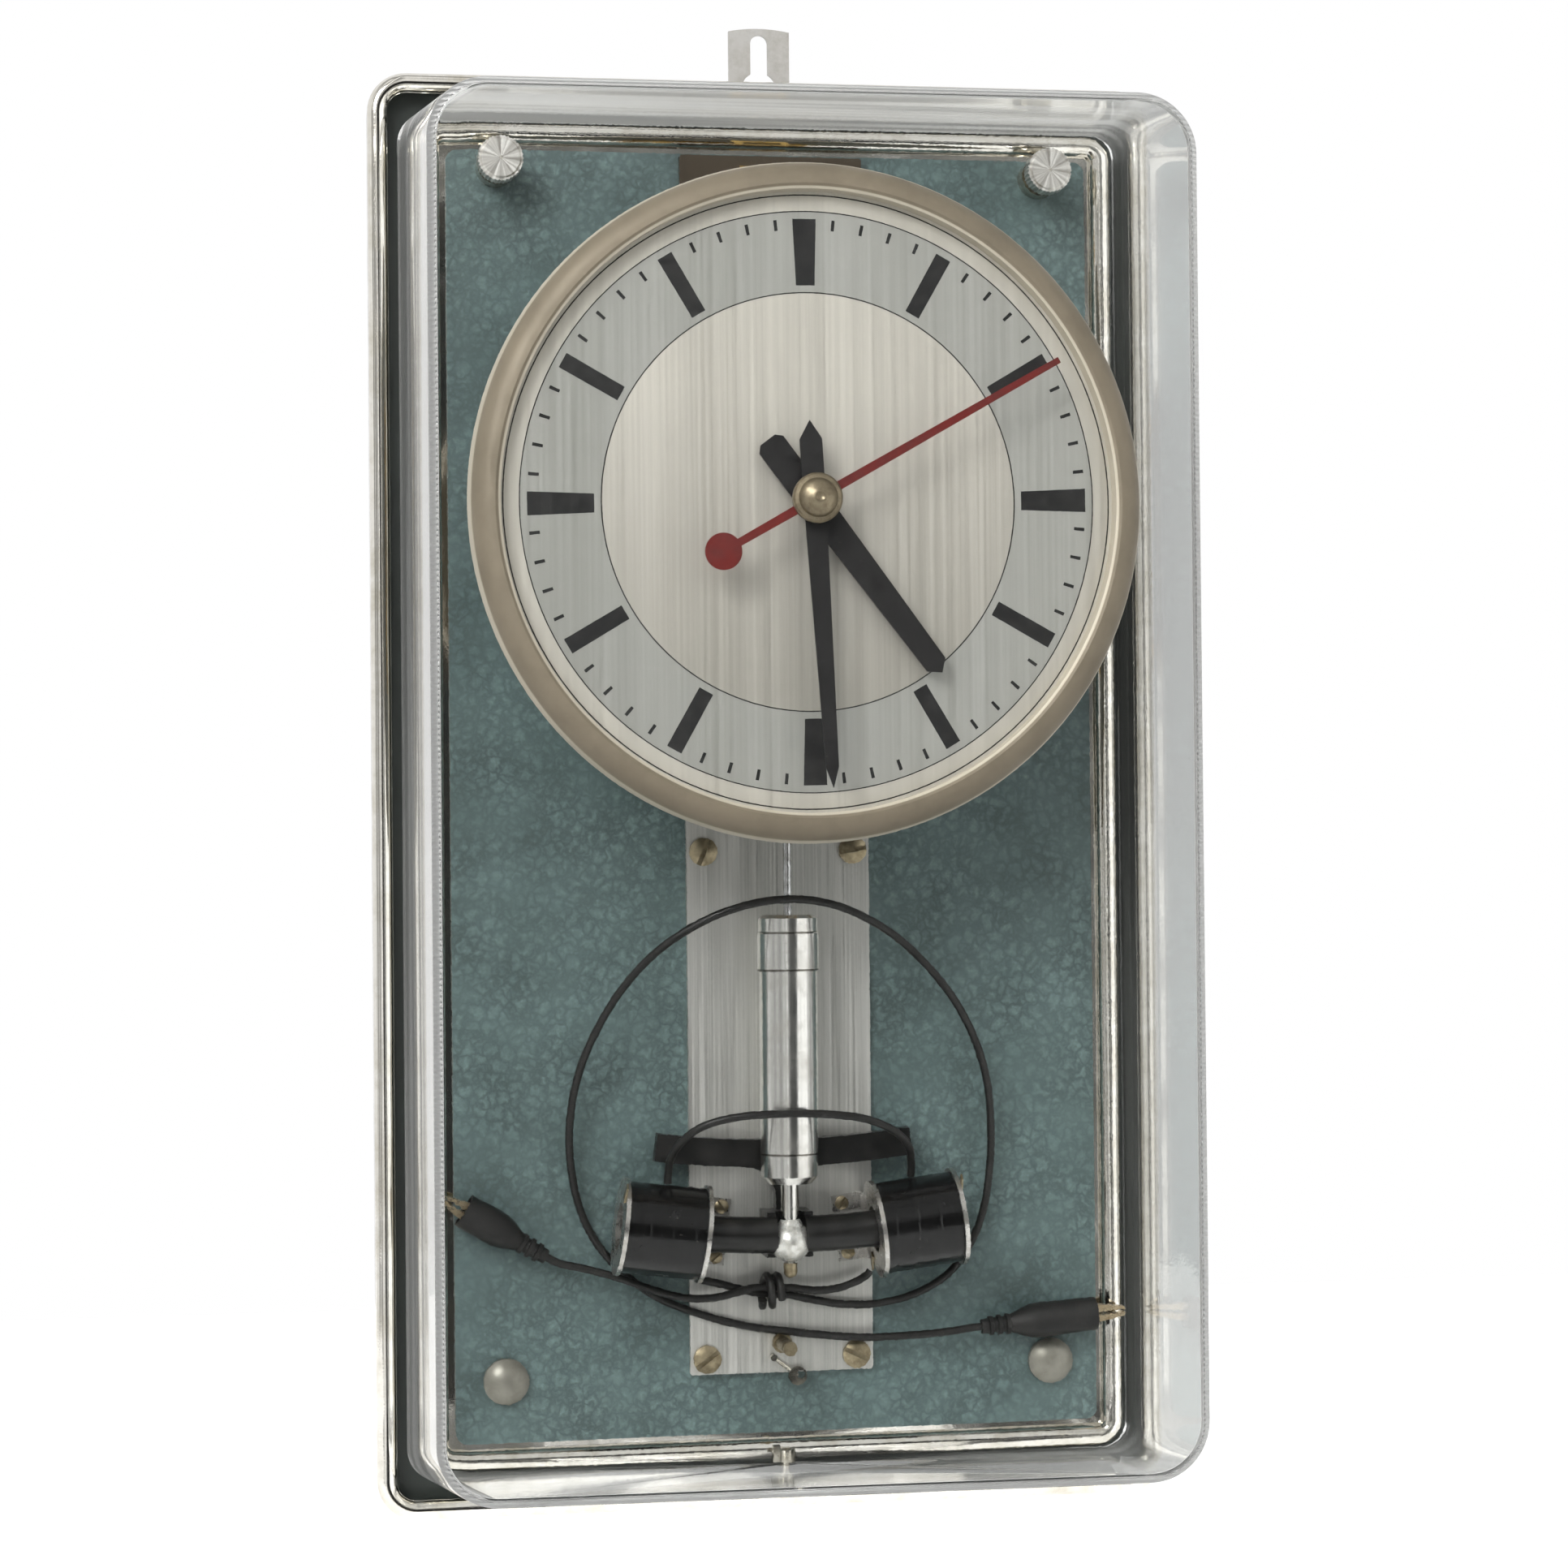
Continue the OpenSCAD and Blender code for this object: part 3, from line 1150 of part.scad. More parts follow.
// Moulded boot with a ribbed neck, a flare and a straight hollow body
module boot(len) rotate([90, 0, 90]) rotate_extrude($fn = 40) polygon([
    [lead_d / 2 + 0.05, 0], [2, 0], [2.1, 2], [2.7, 2.2], [2.7, 3.2], [2.1, 3.4], [2.1, 4.4],
    [2.8, 4.6], [2.8, 5.6], [2.2, 5.8], [2.2, 6.8], [2.9, 7], [2.9, 8], [2.5, 8.2],
    [2.8, boot_neck], [3.9, boot_neck + 2.6], [4.7, boot_neck + 5.4], [boot_r, boot_neck + 8.4],
    [boot_r, boot_neck + 9.6], [mouth_r, len], [mouth_r - boot_wall, len],
    [boot_r - boot_wall, boot_neck + 9.6], [boot_r - boot_wall, boot_neck + 8.4],
    [4.7 - boot_wall, boot_neck + 5.6], [1.6, boot_neck + 1.6], [lead_d / 2 + 0.05, boot_neck - 2]
]);

// Pressed side of a clip, above the clip's middle: a lever in the boot and a toothed jaw outside
module clip_side(len, reach) translate([0, 0, -jaw_w / 2]) linear_extrude(jaw_w) polygon(concat(
    [[boot_neck + 8, 2], [len - hinge_back - 2, 1.2], [len - hinge_back, 0.25]],
    [for (x = [len + 1:1.6:len + reach - 2]) for (p = [[0, 0.25], [0.8, 0.7]]) [x + p[0], p[1]]],
    [[len + reach - 0.8, 0.25], [len + reach, 0.5], [len + reach - 0.6, 1.3], [len + 1, 2.4],
     [len - hinge_back, 2.6], [boot_neck + 8, 2.6]]));

module at_hinge(len, z0, z1) translate([len - hinge_back, 0, z0]) linear_extrude(z1 - z0) children();

// Half with two ears round the hinge pin
module moving_half(len, reach) difference() {
    union() {
        clip_side(len, reach);
        for (z = [-jaw_w / 2, jaw_mid]) at_hinge(len, z, z + 1) circle(ear_r);
    }
    at_hinge(len, -jaw_mid - 0.01, jaw_mid + 0.01) circle(ear_r + seat_gap);
    at_hinge(len, -jaw_w, jaw_w) circle(hinge_r + run_gap);
}

// Half with one ear in the middle, and the pin
module fixed_half(len, reach) {
    ear = jaw_mid - seat_gap;
    difference() {
        mirror([0, 1, 0]) clip_side(len, reach);
        at_hinge(len, ear, jaw_w) circle(ear_r + seat_gap);
        at_hinge(len, -jaw_w, -ear) circle(ear_r + seat_gap);
    }
    at_hinge(len, -ear, ear) circle(ear_r);
    at_hinge(len, -jaw_w / 2, jaw_w / 2) circle(hinge_r);
}

module clip_boots() color("black") hung() {
    at_right_clip() boot(boot_len);
    at_left_clip() boot(left_boot_len);
}

module clip_fixed_jaws() color("tan") hung() {
    at_right_clip() fixed_half(boot_len, jaw_reach);
    at_left_clip() fixed_half(left_boot_len, left_jaw_reach);
}

module clip_jaw_left() color("tan") hung() at_left_clip() moving_half(left_boot_len, left_jaw_reach);

module clip_jaw_right() color("tan") hung() at_right_clip() moving_half(boot_len, jaw_reach);

back_tray();
hanger_tab();
wall_pads();
bead_frame();
back_panel();
cover();
catch_bracket();
catch_screw();
upper_posts();
thumb_nut_left();
thumb_nut_right();
lower_buttons();
base_plate();
plate_screws();
suspension_bracket();
suspension_spring();
pillars();
rear_plate();
front_plate();
movement_screws();
count_wheel();
seconds_arbor();
third_wheel();
centre_wheel();
cannon_pinion();
motion_wheel();
motion_stud();
hour_wheel();
click_spring();
dial_feet();
dial();
bezel();
hour_hand();
minute_hand();
second_hand();
hub_cap();
pendulum_rod();
drive_pawl();
bob_cap();
bob_tube();
bob_cup();
return_yoke();
bar_magnet();
magnet_ball();
rating_nut();
coil_bobbins();
coil_windings();
coil_lugs();
lug_screws();
solder_tags();
transport_post();
transport_hook();
long_lead();
short_lead();
link_lead();
lead_knot();
clip_boots();
clip_fixed_jaws();
clip_jaw_left();
clip_jaw_right();
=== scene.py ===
import math
import bmesh
import bpy
import numpy as np
from mathutils import Matrix, Vector


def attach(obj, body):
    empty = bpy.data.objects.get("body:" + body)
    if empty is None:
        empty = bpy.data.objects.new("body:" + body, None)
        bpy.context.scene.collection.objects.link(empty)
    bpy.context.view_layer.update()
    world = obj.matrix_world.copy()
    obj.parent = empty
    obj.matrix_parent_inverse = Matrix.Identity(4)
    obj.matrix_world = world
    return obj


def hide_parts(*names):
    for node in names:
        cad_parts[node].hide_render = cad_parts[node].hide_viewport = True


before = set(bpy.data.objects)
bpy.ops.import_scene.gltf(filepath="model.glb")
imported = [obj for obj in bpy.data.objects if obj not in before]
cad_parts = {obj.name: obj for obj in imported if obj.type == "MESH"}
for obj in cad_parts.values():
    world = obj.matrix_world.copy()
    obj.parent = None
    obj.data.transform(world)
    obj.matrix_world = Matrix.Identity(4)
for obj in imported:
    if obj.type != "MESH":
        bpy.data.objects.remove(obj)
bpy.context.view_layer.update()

# The camera stands a metre in front of the clock and to the left of its middle, level with it, as the
# photograph was taken. Places on the clock are in millimetres, as seen by someone who faces it, with z
# running out from the wall.
SEAT_Y = 213.2
CAMERA_AT = [-177.03, -12.92, 1059.56]
YAW, PITCH, ROLL = 0.1707, -0.0143, 0.009
LENS, SENSOR = 86.754, 36


def facing(points):
    """Millimetres (x right, y up, z out from the wall) become metres (x, -z, y - seat)."""
    p = np.asarray(points, float)
    return np.stack([p[..., 0], -p[..., 2], p[..., 1] - SEAT_Y], -1) / 1000


def turned(axes, angle):
    """Rotation matrix in the plane of two axes: the first turns towards the second by the angle."""
    a, b = axes
    m = np.eye(3)
    m[a, a] = m[b, b] = math.cos(angle)
    m[b, a], m[a, b] = math.sin(angle), -math.sin(angle)
    return m


camera_data = bpy.data.cameras.new("camera")
camera_data.lens, camera_data.sensor_width, camera_data.clip_start = LENS, SENSOR, 0.05
camera = bpy.data.objects.new("camera", camera_data)
bpy.context.scene.collection.objects.link(camera)
bpy.context.scene.camera = camera
view = turned((0, 1), ROLL) @ turned((1, 2), PITCH) @ turned((2, 0), YAW)
stand = np.eye(4)
stand[:3, :3] = np.array([[1, 0, 0], [0, 0, -1], [0, 1, 0]]) @ view.T
stand[:3, 3] = facing(CAMERA_AT)
camera.matrix_world = Matrix(stand.tolist())

# The leads: thin stranded wire in soft black plastic, soldered to the coils' tags. The long one goes up
# round the bob and back to a clip on the right, the short one goes left to the other clip, and a third
# joins both coils over the bob.
FOOT_Y = -200
LEAD_D = 2.2
long_route = [
    [-24.2, 66.23, 22.2], [-23, 65.2, 22.3], [-19.6, 64.4, 22.4], [-14, 62.8, 22.1],
    [-9, 61.3, 21.5], [-4, 60.7, 21.4], [2, 60, 21.2], [8, 58.6, 20.6], [16, 57, 20],
    [26, 56.6, 19.5], [37, 58.8, 19.5], [46.7, 64, 19.6], [53.2, 72, 19.8], [57.4, 82.5, 20.1],
    [59.2, 95, 20.6], [59.2, 108, 21.8], [57.4, 120, 24.2], [53.4, 131, 27], [47.4, 141.4, 30],
    [39.6, 150.6, 33.8], [30.6, 158.6, 38.4], [21.4, 164.4, 41.8], [11.6, 168.6, 42.9],
    [1.1, 170.4, 43], [-10, 169.6, 43], [-20.6, 166.6, 42.6], [-30.4, 161.4, 39.4],
    [-39, 154.4, 34.8], [-47, 144.6, 30.4], [-53.8, 132.3, 27], [-57.8, 120.6, 23.8],
    [-59.5, 108.6, 21.9], [-59, 96.6, 20.7], [-56.4, 85, 19.9], [-51.4, 75.2, 19.4],
    [-44.4, 67.4, 19], [-34.6, 60.2, 18.8], [-21.6, 54.8, 18.9], [-9, 51.4, 19.3], [0, 50.1, 20.1],
    [9, 48.8, 20.4], [22.4, 47.6, 21.3], [36, 47.7, 21.6], [47, 48.4, 21.9], [53, 49.16, 22],
    [56, 49.4, 22],
]
short_route = [
    [24.25, 66.18, 22.3], [23.2, 65, 22.5], [20, 63.4, 23.2], [14.4, 61.8, 23.9], [8, 61.5, 24.1],
    [2, 62.4, 24.1], [-4, 62.8, 24], [-9.6, 62.6, 24.2], [-15, 61.4, 24.6], [-21.4, 60.4, 24.6],
    [-29, 60.8, 24], [-37.4, 63.2, 23.2], [-46.2, 66.6, 22.7], [-55, 69.2, 22.2],
    [-62.6, 71.1, 22], [-66.3, 73, 22],
]
link_route = [
    [-33.9, 93.2, 33.2], [-33.8, 96.4, 33.9], [-33.3, 100.4, 36.2], [-30.8, 105, 40.2],
    [-25.4, 109.2, 43.4], [-16, 111.6, 45], [-4, 112.2, 45.4], [8, 111.8, 45.2], [19, 110.2, 44.2],
    [27.6, 106.6, 41.4], [32.4, 102, 37.8], [33.8, 97.2, 34.6], [33.9, 93.2, 33.2],
]


def through(route, steps):
    """Smooth curve through a route: between two points it blends the cubic whose slope at each point is
    half the way from the point before to the point after. Each stretch gets that many steps."""
    p = np.asarray(route, float)
    p = np.vstack([2 * p[0] - p[1], p, 2 * p[-1] - p[-2]])
    t = np.linspace(0, 1, steps, endpoint=False)[None, :, None]
    a, b, c, d = (p[k:len(p) - 3 + k, None] for k in range(4))
    bend = t**2 * (a - 2.5 * b + 2 * c - d / 2) + t**3 * (1.5 * (b - c) + (d - a) / 2)
    curve = b + t * (c - a) / 2 + bend
    return np.vstack([curve.reshape(-1, 3), p[-2]])


def tube(path, radius, around, up):
    """Rings round a path: each point plus radius times the cosine of one side and the sine of the other,
    where the sides are the given direction, made square to the path, and what is square to both."""
    heading = np.gradient(path, axis=0)
    heading /= np.linalg.norm(heading, axis=1)[:, None]
    side = np.asarray(up, float) - heading * (heading @ np.asarray(up, float))[:, None]
    side /= np.linalg.norm(side, axis=1)[:, None]
    other = np.cross(heading, side)
    angle = (np.arange(around) * 2 * np.pi / around)[:, None]
    return path[:, None] + radius * (np.cos(angle) * side[:, None] + np.sin(angle) * other[:, None])


def skin(rings, caps=True, start=0):
    """Faces that join each ring of a grid to the next, all the way round, and fill both ends."""
    n, m = rings.shape[:2]
    i, j = np.meshgrid(np.arange(n - 1), np.arange(m), indexing="ij")
    k = (j + 1) % m
    quads = np.stack([i * m + j, i * m + k, (i + 1) * m + k, (i + 1) * m + j], -1).reshape(-1, 4) + start
    ends = [list(range(start, start + m)), list(range(start + (n - 1) * m, start + n * m))] if caps else []
    return quads.tolist() + ends


def piece(name, points, faces, material, body, crisp=35):
    """A mesh that rides on a body: points in millimetres, faces turned outwards, edges over the crisp
    angle left sharp."""
    mesh = bpy.data.meshes.new(name)
    mesh.from_pydata(facing(np.reshape(points, (-1, 3))).tolist(), [], faces)
    work = bmesh.new()
    work.from_mesh(mesh)
    bmesh.ops.recalc_face_normals(work, faces=work.faces[:])
    work.to_mesh(mesh)
    work.free()
    mesh.shade_smooth()
    mesh.set_sharp_from_angle(angle=math.radians(crisp))
    mesh.materials.append(material)
    obj = bpy.data.objects.new(name, mesh)
    bpy.context.scene.collection.objects.link(obj)
    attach(obj, body)
    return obj


def paint(r, g, b):
    """Colour as measured on the photograph, 0 to 255, turned from the screen's curve to light."""
    c = np.array([r, g, b]) / 255
    return (*np.where(c <= 0.04045, c / 12.92, ((c + 0.055) / 1.055) ** 2.4).tolist(), 1.0)


def add(tree, kind, inputs=None, **settings):
    """A shader node with its settings and its inputs, each input a value or another node's output."""
    node = tree.nodes.new("ShaderNode" + kind)
    for key, value in settings.items():
        setattr(node, key, value)
    for key, value in (inputs or {}).items():
        if isinstance(value, bpy.types.NodeSocket):
            tree.links.new(value, node.inputs[key])
        else:
            node.inputs[key].default_value = value
    return node


def finish(name, **sockets):
    """A material whose Principled shader has these values. Returns it with its tree and its shader."""
    material = bpy.data.materials.new(name)
    material.use_nodes = True
    tree = material.node_tree
    shader = tree.nodes["Principled BSDF"]
    for key, value in sockets.items():
        shader.inputs[key.replace("_", " ")].default_value = value
    return material, tree, shader


def drive(shader, **sockets):
    """Links what other nodes work out to the shader's sockets of these names."""
    for key, value in sockets.items():
        shader.id_data.links.new(value, shader.inputs[key.replace("_", " ")])


def here(tree, axis=None):
    """Where a point lies on the piece's own coordinates, in metres, or its place along one axis."""
    where = add(tree, "TexCoord").outputs["Object"]
    return add(tree, "SeparateXYZ", {0: where}).outputs[axis] if axis else where


def mix(tree, mask, low, high):
    """The colour low where a mask is 0, and high where it is 1."""
    return add(tree, "Mix", {0: mask, 6: low, 7: high}, data_type="RGBA").outputs[2]


def between(tree, fac, low, high, start=0.0, end=1.0):
    """A value or colour that goes from low to high while a mask goes from start to end."""
    span = {"Value": fac, "From Min": start, "From Max": end}
    if isinstance(low, tuple):
        return mix(tree, add(tree, "MapRange", span).outputs[0], low, high)
    return add(tree, "MapRange", {**span, "To Min": low, "To Max": high}).outputs[0]


def rise(tree, fac, start, end):
    """A mask that goes from 0 to 1 while a value goes from start to end."""
    return between(tree, fac, 0.0, 1.0, start, end)


def reckon(tree, operation, *values):
    """What a Math node makes of one or two values."""
    return add(tree, "Math", dict(enumerate(values)), operation=operation).outputs[0]


def vector(tree, operation, *values):
    """What a Vector Math node makes of one or two vectors, or of a vector and the number that scales it."""
    places = (0, "Scale") if operation == "SCALE" else (0, 1)
    node = add(tree, "VectorMath", dict(zip(places, values)), operation=operation)
    return node.outputs["Value" if operation in ("LENGTH", "DOT_PRODUCT") else "Vector"]


def spots(tree, scale, detail=2.0, rough=0.5, stretch=None):
    """Noise on the piece's own coordinates, drawn out along an axis where its stretch is small."""
    where = here(tree)
    if stretch:
        where = add(tree, "Mapping", {"Vector": where, "Scale": stretch}).outputs[0]
    return add(tree, "TexNoise", {"Vector": where, "Scale": scale, "Detail": detail,
                                  "Roughness": rough}).outputs["Fac"]


lead_black, tree, shader = finish("lead_black", Specular_IOR_Level=0.35)
grain = add(tree, "Bump", {"Height": spots(tree, 2600), "Strength": 0.25, "Distance": 0.00005})
drive(shader, Base_Color=between(tree, spots(tree, 900), paint(13, 13, 12), paint(27, 26, 24), 0.35, 0.65),
      Roughness=between(tree, spots(tree, 160), 0.34, 0.55, 0.3, 0.7), Normal=grain.outputs[0])

for name, route, far_end, ends in [
    ("long_wire", long_route, "connector", ["clip_jaw_right", "lead_knot"]),
    ("short_wire", short_route, "connector", ["clip_jaw_left", "clip_boots", "clip_fixed_jaws"]),
    ("link_wire", link_route, "object", []),
]:
    path = through(np.array(route) + [0, FOOT_Y, 0], 8)
    rings = tube(path, LEAD_D / 2, 20, (0, 0, 1))
    wire = piece(name, rings, skin(rings), lead_black, "case")
    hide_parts(name.replace("wire", "lead"))
    line = facing(path)

# The two leads are tied in an overhand knot in front of the base plate. Its turns lie side by side
# round the other wire and are pulled tight.
KNOT_AT, KNOT_R, KNOT_PITCH = [-4, FOOT_Y + 61.7, 22.7], 4.1, 2.7
turn = np.radians(np.arange(0, 720.1, 7.5))
start = np.radians(120)
path = np.array(KNOT_AT) + np.stack([KNOT_PITCH * (turn / (2 * np.pi) - 1), KNOT_R * np.cos(turn + start),
                                     KNOT_R * np.sin(turn + start)], -1)
rings = tube(path, LEAD_D / 2, 20, (1, 0, 0))
knot = piece("wire_knot", rings, skin(rings), lead_black, "case")
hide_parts("lead_knot")

# Each lead ends in a spring clip of pressed steel, its halves hinged on a pin, with the levers inside a
# moulded black rubber boot. The boots are dusty and rubbed grey in cloudy patches.
CRISP = 32
joined = bpy.data.node_groups.new("joined_faces", "GeometryNodeTree")
joined.interface.new_socket("Geometry", in_out="INPUT", socket_type="NodeSocketGeometry")
joined.interface.new_socket("Geometry", in_out="OUTPUT", socket_type="NodeSocketGeometry")
steps = [joined.nodes.new(kind) for kind in (
    "NodeGroupInput", "GeometryNodeMergeByDistance", "GeometryNodeRemoveAttribute",
    "GeometryNodeSetShadeSmooth", "GeometryNodeSetShadeSmooth", "NodeGroupOutput")]
for before, after in zip(steps, steps[1:]):
    joined.links.new(before.outputs[0], after.inputs[0])
steps[1].inputs["Distance"].default_value = 2e-6
steps[2].inputs["Name"].default_value = "custom_normal"
bend = joined.nodes.new("GeometryNodeInputMeshEdgeAngle")
sharp = joined.nodes.new("FunctionNodeCompare")
sharp.operation = "GREATER_THAN"
sharp.inputs[1].default_value = math.radians(CRISP)
joined.links.new(bend.outputs[0], sharp.inputs[0])
steps[4].domain = "EDGE"
steps[4].inputs["Shade Smooth"].default_value = False
joined.links.new(sharp.outputs[0], steps[4].inputs["Selection"])


def dress(material, *nodes):
    """CAD nodes take a material. Their loose triangles are joined where they meet, so that round faces
    shade as round and edges over the crisp angle stay sharp."""
    for name in nodes:
        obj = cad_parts[name]
        if not obj.material_slots:
            obj.data.materials.append(material)
        for slot in obj.material_slots:
            slot.material = material
        obj.modifiers.new("joined", "NODES").node_group = joined


def effect(name, inputs, outputs):
    """A shader node group with these sockets. Returns its tree, the sockets that come in and those that
    go out."""
    tree = bpy.data.node_groups.new(name, "ShaderNodeTree")
    for label, kind, value in inputs:
        socket = tree.interface.new_socket(label, in_out="INPUT", socket_type="NodeSocket" + kind)
        socket.default_value = value
    for label, kind in outputs:
        tree.interface.new_socket(label, in_out="OUTPUT", socket_type="NodeSocket" + kind)
    return tree, tree.nodes.new("NodeGroupInput").outputs, tree.nodes.new("NodeGroupOutput").inputs


def use(tree, group, **values):
    """Places a shared effect in a material with its own values, and returns what it gives."""
    node = tree.nodes.new("ShaderNodeGroup")
    node.node_tree = group
    for key, value in values.items():
        node.inputs[key].default_value = value
    return node.outputs


# Dust and handling, shared by most finishes: cloudy patches, and a skin that is never quite even,
# with a slow wave and fine pits.
handled, inside, out = effect(
    "handled", [("Patch", "Float", 90.0), ("Grain", "Float", 1500.0), ("Wave", "Float", 0.0002),
                ("Pit", "Float", 0.00001)],
    [("Haze", "Float"), ("Normal", "Vector")])
where = here(handled)
cloud = add(handled, "TexNoise", {"Vector": where, "Scale": inside["Patch"], "Detail": 6.0, "Roughness": 0.65})
haze = add(handled, "MapRange", {"Value": cloud.outputs[0], "From Min": 0.42, "From Max": 0.72})
slow = reckon(handled, "MULTIPLY", inside["Patch"], 0.5)
swell = add(handled, "TexNoise", {"Vector": where, "Scale": slow, "Detail": 1.0})
fine = add(handled, "TexNoise", {"Vector": where, "Scale": inside["Grain"], "Detail": 3.0})
wave = add(handled, "Bump", {"Height": swell.outputs[0], "Strength": 1.0, "Distance": inside["Wave"]})
pits = add(handled, "Bump", {"Height": fine.outputs[0], "Strength": 1.0, "Distance": inside["Pit"],
                             "Normal": wave.outputs[0]})
handled.links.new(haze.outputs[0], out["Haze"])
handled.links.new(pits.outputs[0], out["Normal"])


def worn(name, clean, dull, smooth, rough, metallic=1.0, patch=90.0, grain=1500.0, wave=0.0, pit=0.00001,
         **sockets):
    """A finish that goes from clean to dull, and from smooth to rough, in cloudy patches."""
    material, tree, shader = finish(name, Metallic=metallic, **sockets)
    haze, normal = use(tree, handled, Patch=patch, Grain=grain, Wave=wave, Pit=pit)
    drive(shader, Base_Color=between(tree, haze, clean, dull), Roughness=between(tree, haze, smooth, rough),
          Normal=normal)
    return material


dress(worn("boot_rubber", paint(13, 13, 12), paint(36, 35, 33), 0.5, 0.66, metallic=0.0, patch=260.0,
           grain=3000.0, wave=0.0001, pit=0.00003, Specular_IOR_Level=0.35), "clip_boots")
dress(worn("jaw_steel", paint(196, 180, 150), paint(140, 122, 94), 0.25, 0.45, patch=500.0, grain=4000.0),
      "clip_fixed_jaws", "clip_jaw_left", "clip_jaw_right")

# The case: a shallow tray of pressed steel with a rolled rim, chrome plated, and inside it a framed bead,
# also chromed, with dark green paint left in the channel between them. The plating is polished by hand
# and slightly wavy, warm with age.
CHANNEL_Y = -0.0085, -0.0078
dress(worn("case_chrome", paint(232, 229, 222), paint(204, 199, 186), 0.06, 0.16, wave=0.0006), "back_tray")

bead_chrome, tree, shader = finish("bead_chrome")
haze, normal = use(tree, handled, Wave=0.0006)
ragged = reckon(tree, "ADD", here(tree, "Y"), between(tree, spots(tree, 400), -0.0006, 0.0006))
painted = rise(tree, ragged, *CHANNEL_Y)
bright = between(tree, haze, paint(236, 233, 226), paint(208, 203, 190))
drive(shader, Base_Color=mix(tree, painted, bright, paint(34, 40, 36)),
      Metallic=reckon(tree, "SUBTRACT", 1.0, painted),
      Roughness=reckon(tree, "ADD", between(tree, haze, 0.05, 0.13), reckon(tree, "MULTIPLY", painted, 0.35)),
      Normal=normal)
dress(bead_chrome, "bead_frame")

dress(worn("tab_zinc", paint(186, 184, 180), paint(158, 154, 147), 0.4, 0.55, metallic=0.35, patch=140.0),
      "hanger_tab")
dress(worn("pad_rubber", paint(58, 56, 54), paint(84, 80, 76), 0.6, 0.8, metallic=0.0, patch=200.0),
      "wall_pads")

# The back panel is sheet steel in a blue-green hammer finish: the paint draws back into shallow cells a
# few millimetres across, with a darker net between them, and it is rubbed lighter in cloudy patches.
CELL, SMALL_CELL, NET_WIDTH = 270.0, 560.0, 0.3
hammer, tree, shader = finish("hammer_paint", Specular_IOR_Level=0.5)
where = here(tree)
drift = add(tree, "TexNoise", {"Vector": where, "Scale": 420.0, "Detail": 3.0}).outputs["Color"]
pull = vector(tree, "SCALE", vector(tree, "SUBTRACT", drift, (0.5, 0.5, 0.5)), 0.005)
bent = vector(tree, "ADD", where, pull)
cells, small = (add(tree, "TexVoronoi", {"Vector": bent, "Scale": scale}, feature="DISTANCE_TO_EDGE")
                .outputs["Distance"] for scale in (CELL, SMALL_CELL))
net = reckon(tree, "MULTIPLY", rise(tree, cells, 0.0, NET_WIDTH), between(tree, small, 0.65, 1.0, 0.0, NET_WIDTH))
net = reckon(tree, "MULTIPLY", net, between(tree, spots(tree, 900), 0.65, 1.0, 0.4, 0.6))
cloudy = between(tree, spots(tree, 28, 5, 0.6), paint(87, 106, 106), paint(107, 127, 127), 0.35, 0.65)
veins = between(tree, spots(tree, 60, 3), paint(58, 73, 72), paint(74, 91, 90), 0.35, 0.65)
dimples = add(tree, "Bump", {"Height": net, "Strength": 0.4, "Distance": 0.00015})
drive(shader, Base_Color=mix(tree, net, veins, cloudy), Roughness=between(tree, net, 0.5, 0.3),
      Normal=dimples.outputs[0])
dress(hammer, "back_panel")

# The cover is one box of clear acrylic, open at the back, under three millimetres thick. Its front edges
# are only just broken, its walls flare a little towards the wall, and a slot in its bottom wall slides
# over a screw. Along the front edges the marks of the trimming show as a row of fine glints.
CASE_W, CASE_H = 224, 400
COVER = {"side": 8.6, "end": 9.8, "lean_side": 1.5, "lean_end": 6.8, "plan": 16, "low_corner": 9,
         "soft": 2.6, "low": 7.8, "high": 96, "thick": 2.5}
COVER_EDGE = np.array([CASE_W / 2 - COVER["side"], CASE_H / 2 - COVER["end"]])
COVER_LEAN = np.array([COVER["lean_side"], COVER["lean_end"]])
TRIM_PITCH = 0.00145


def cover_skin(inset, turns=24, rounds=16):
    """Rings of the cover's skin, set in by an inset. For each direction round the plan the wall is the
    straight line that touches the lower corner's circle and the front edge's rounding, then the rounding
    itself goes from that line over to the flat front."""
    soft, plan, corner = (COVER[k] - inset for k in ("soft", "plan", "low_corner"))
    high = COVER["high"] - inset
    edge = COVER_EDGE - inset
    turn = (np.linspace(0, np.pi / 2, turns)[None] + np.arange(4)[:, None] * np.pi / 2).ravel()
    quarter = np.repeat(np.arange(4), turns)
    sign = np.stack([np.where((quarter == 0) | (quarter == 3), 1, -1), np.where(quarter < 2, 1, -1)], -1)
    out = np.stack([np.cos(turn), np.sin(turn)], -1)
    low_centre, front_centre = sign * (edge - corner), sign * (edge - COVER_LEAN - plan)
    a = ((low_centre - front_centre) * out).sum(1) + corner - (plan - soft)
    b = COVER["low"] - (high - soft)
    first = np.arctan2(b, a) + np.arccos(soft / np.hypot(a, b))
    angle = first + np.linspace(0, 1, rounds)[:, None] * (np.pi / 2 - first)
    reach = (plan - soft) + soft * np.cos(angle)
    height = high - soft + soft * np.sin(angle)
    rounding = np.concatenate([front_centre + reach[..., None] * out, height[..., None]], -1)
    foot = np.concatenate([low_centre + corner * out, np.full((len(turn), 1), COVER["low"])], -1)
    return np.concatenate([foot[None], rounding])


outer, inner = cover_skin(0), cover_skin(COVER["thick"])
rings = np.concatenate([outer[::-1], inner])

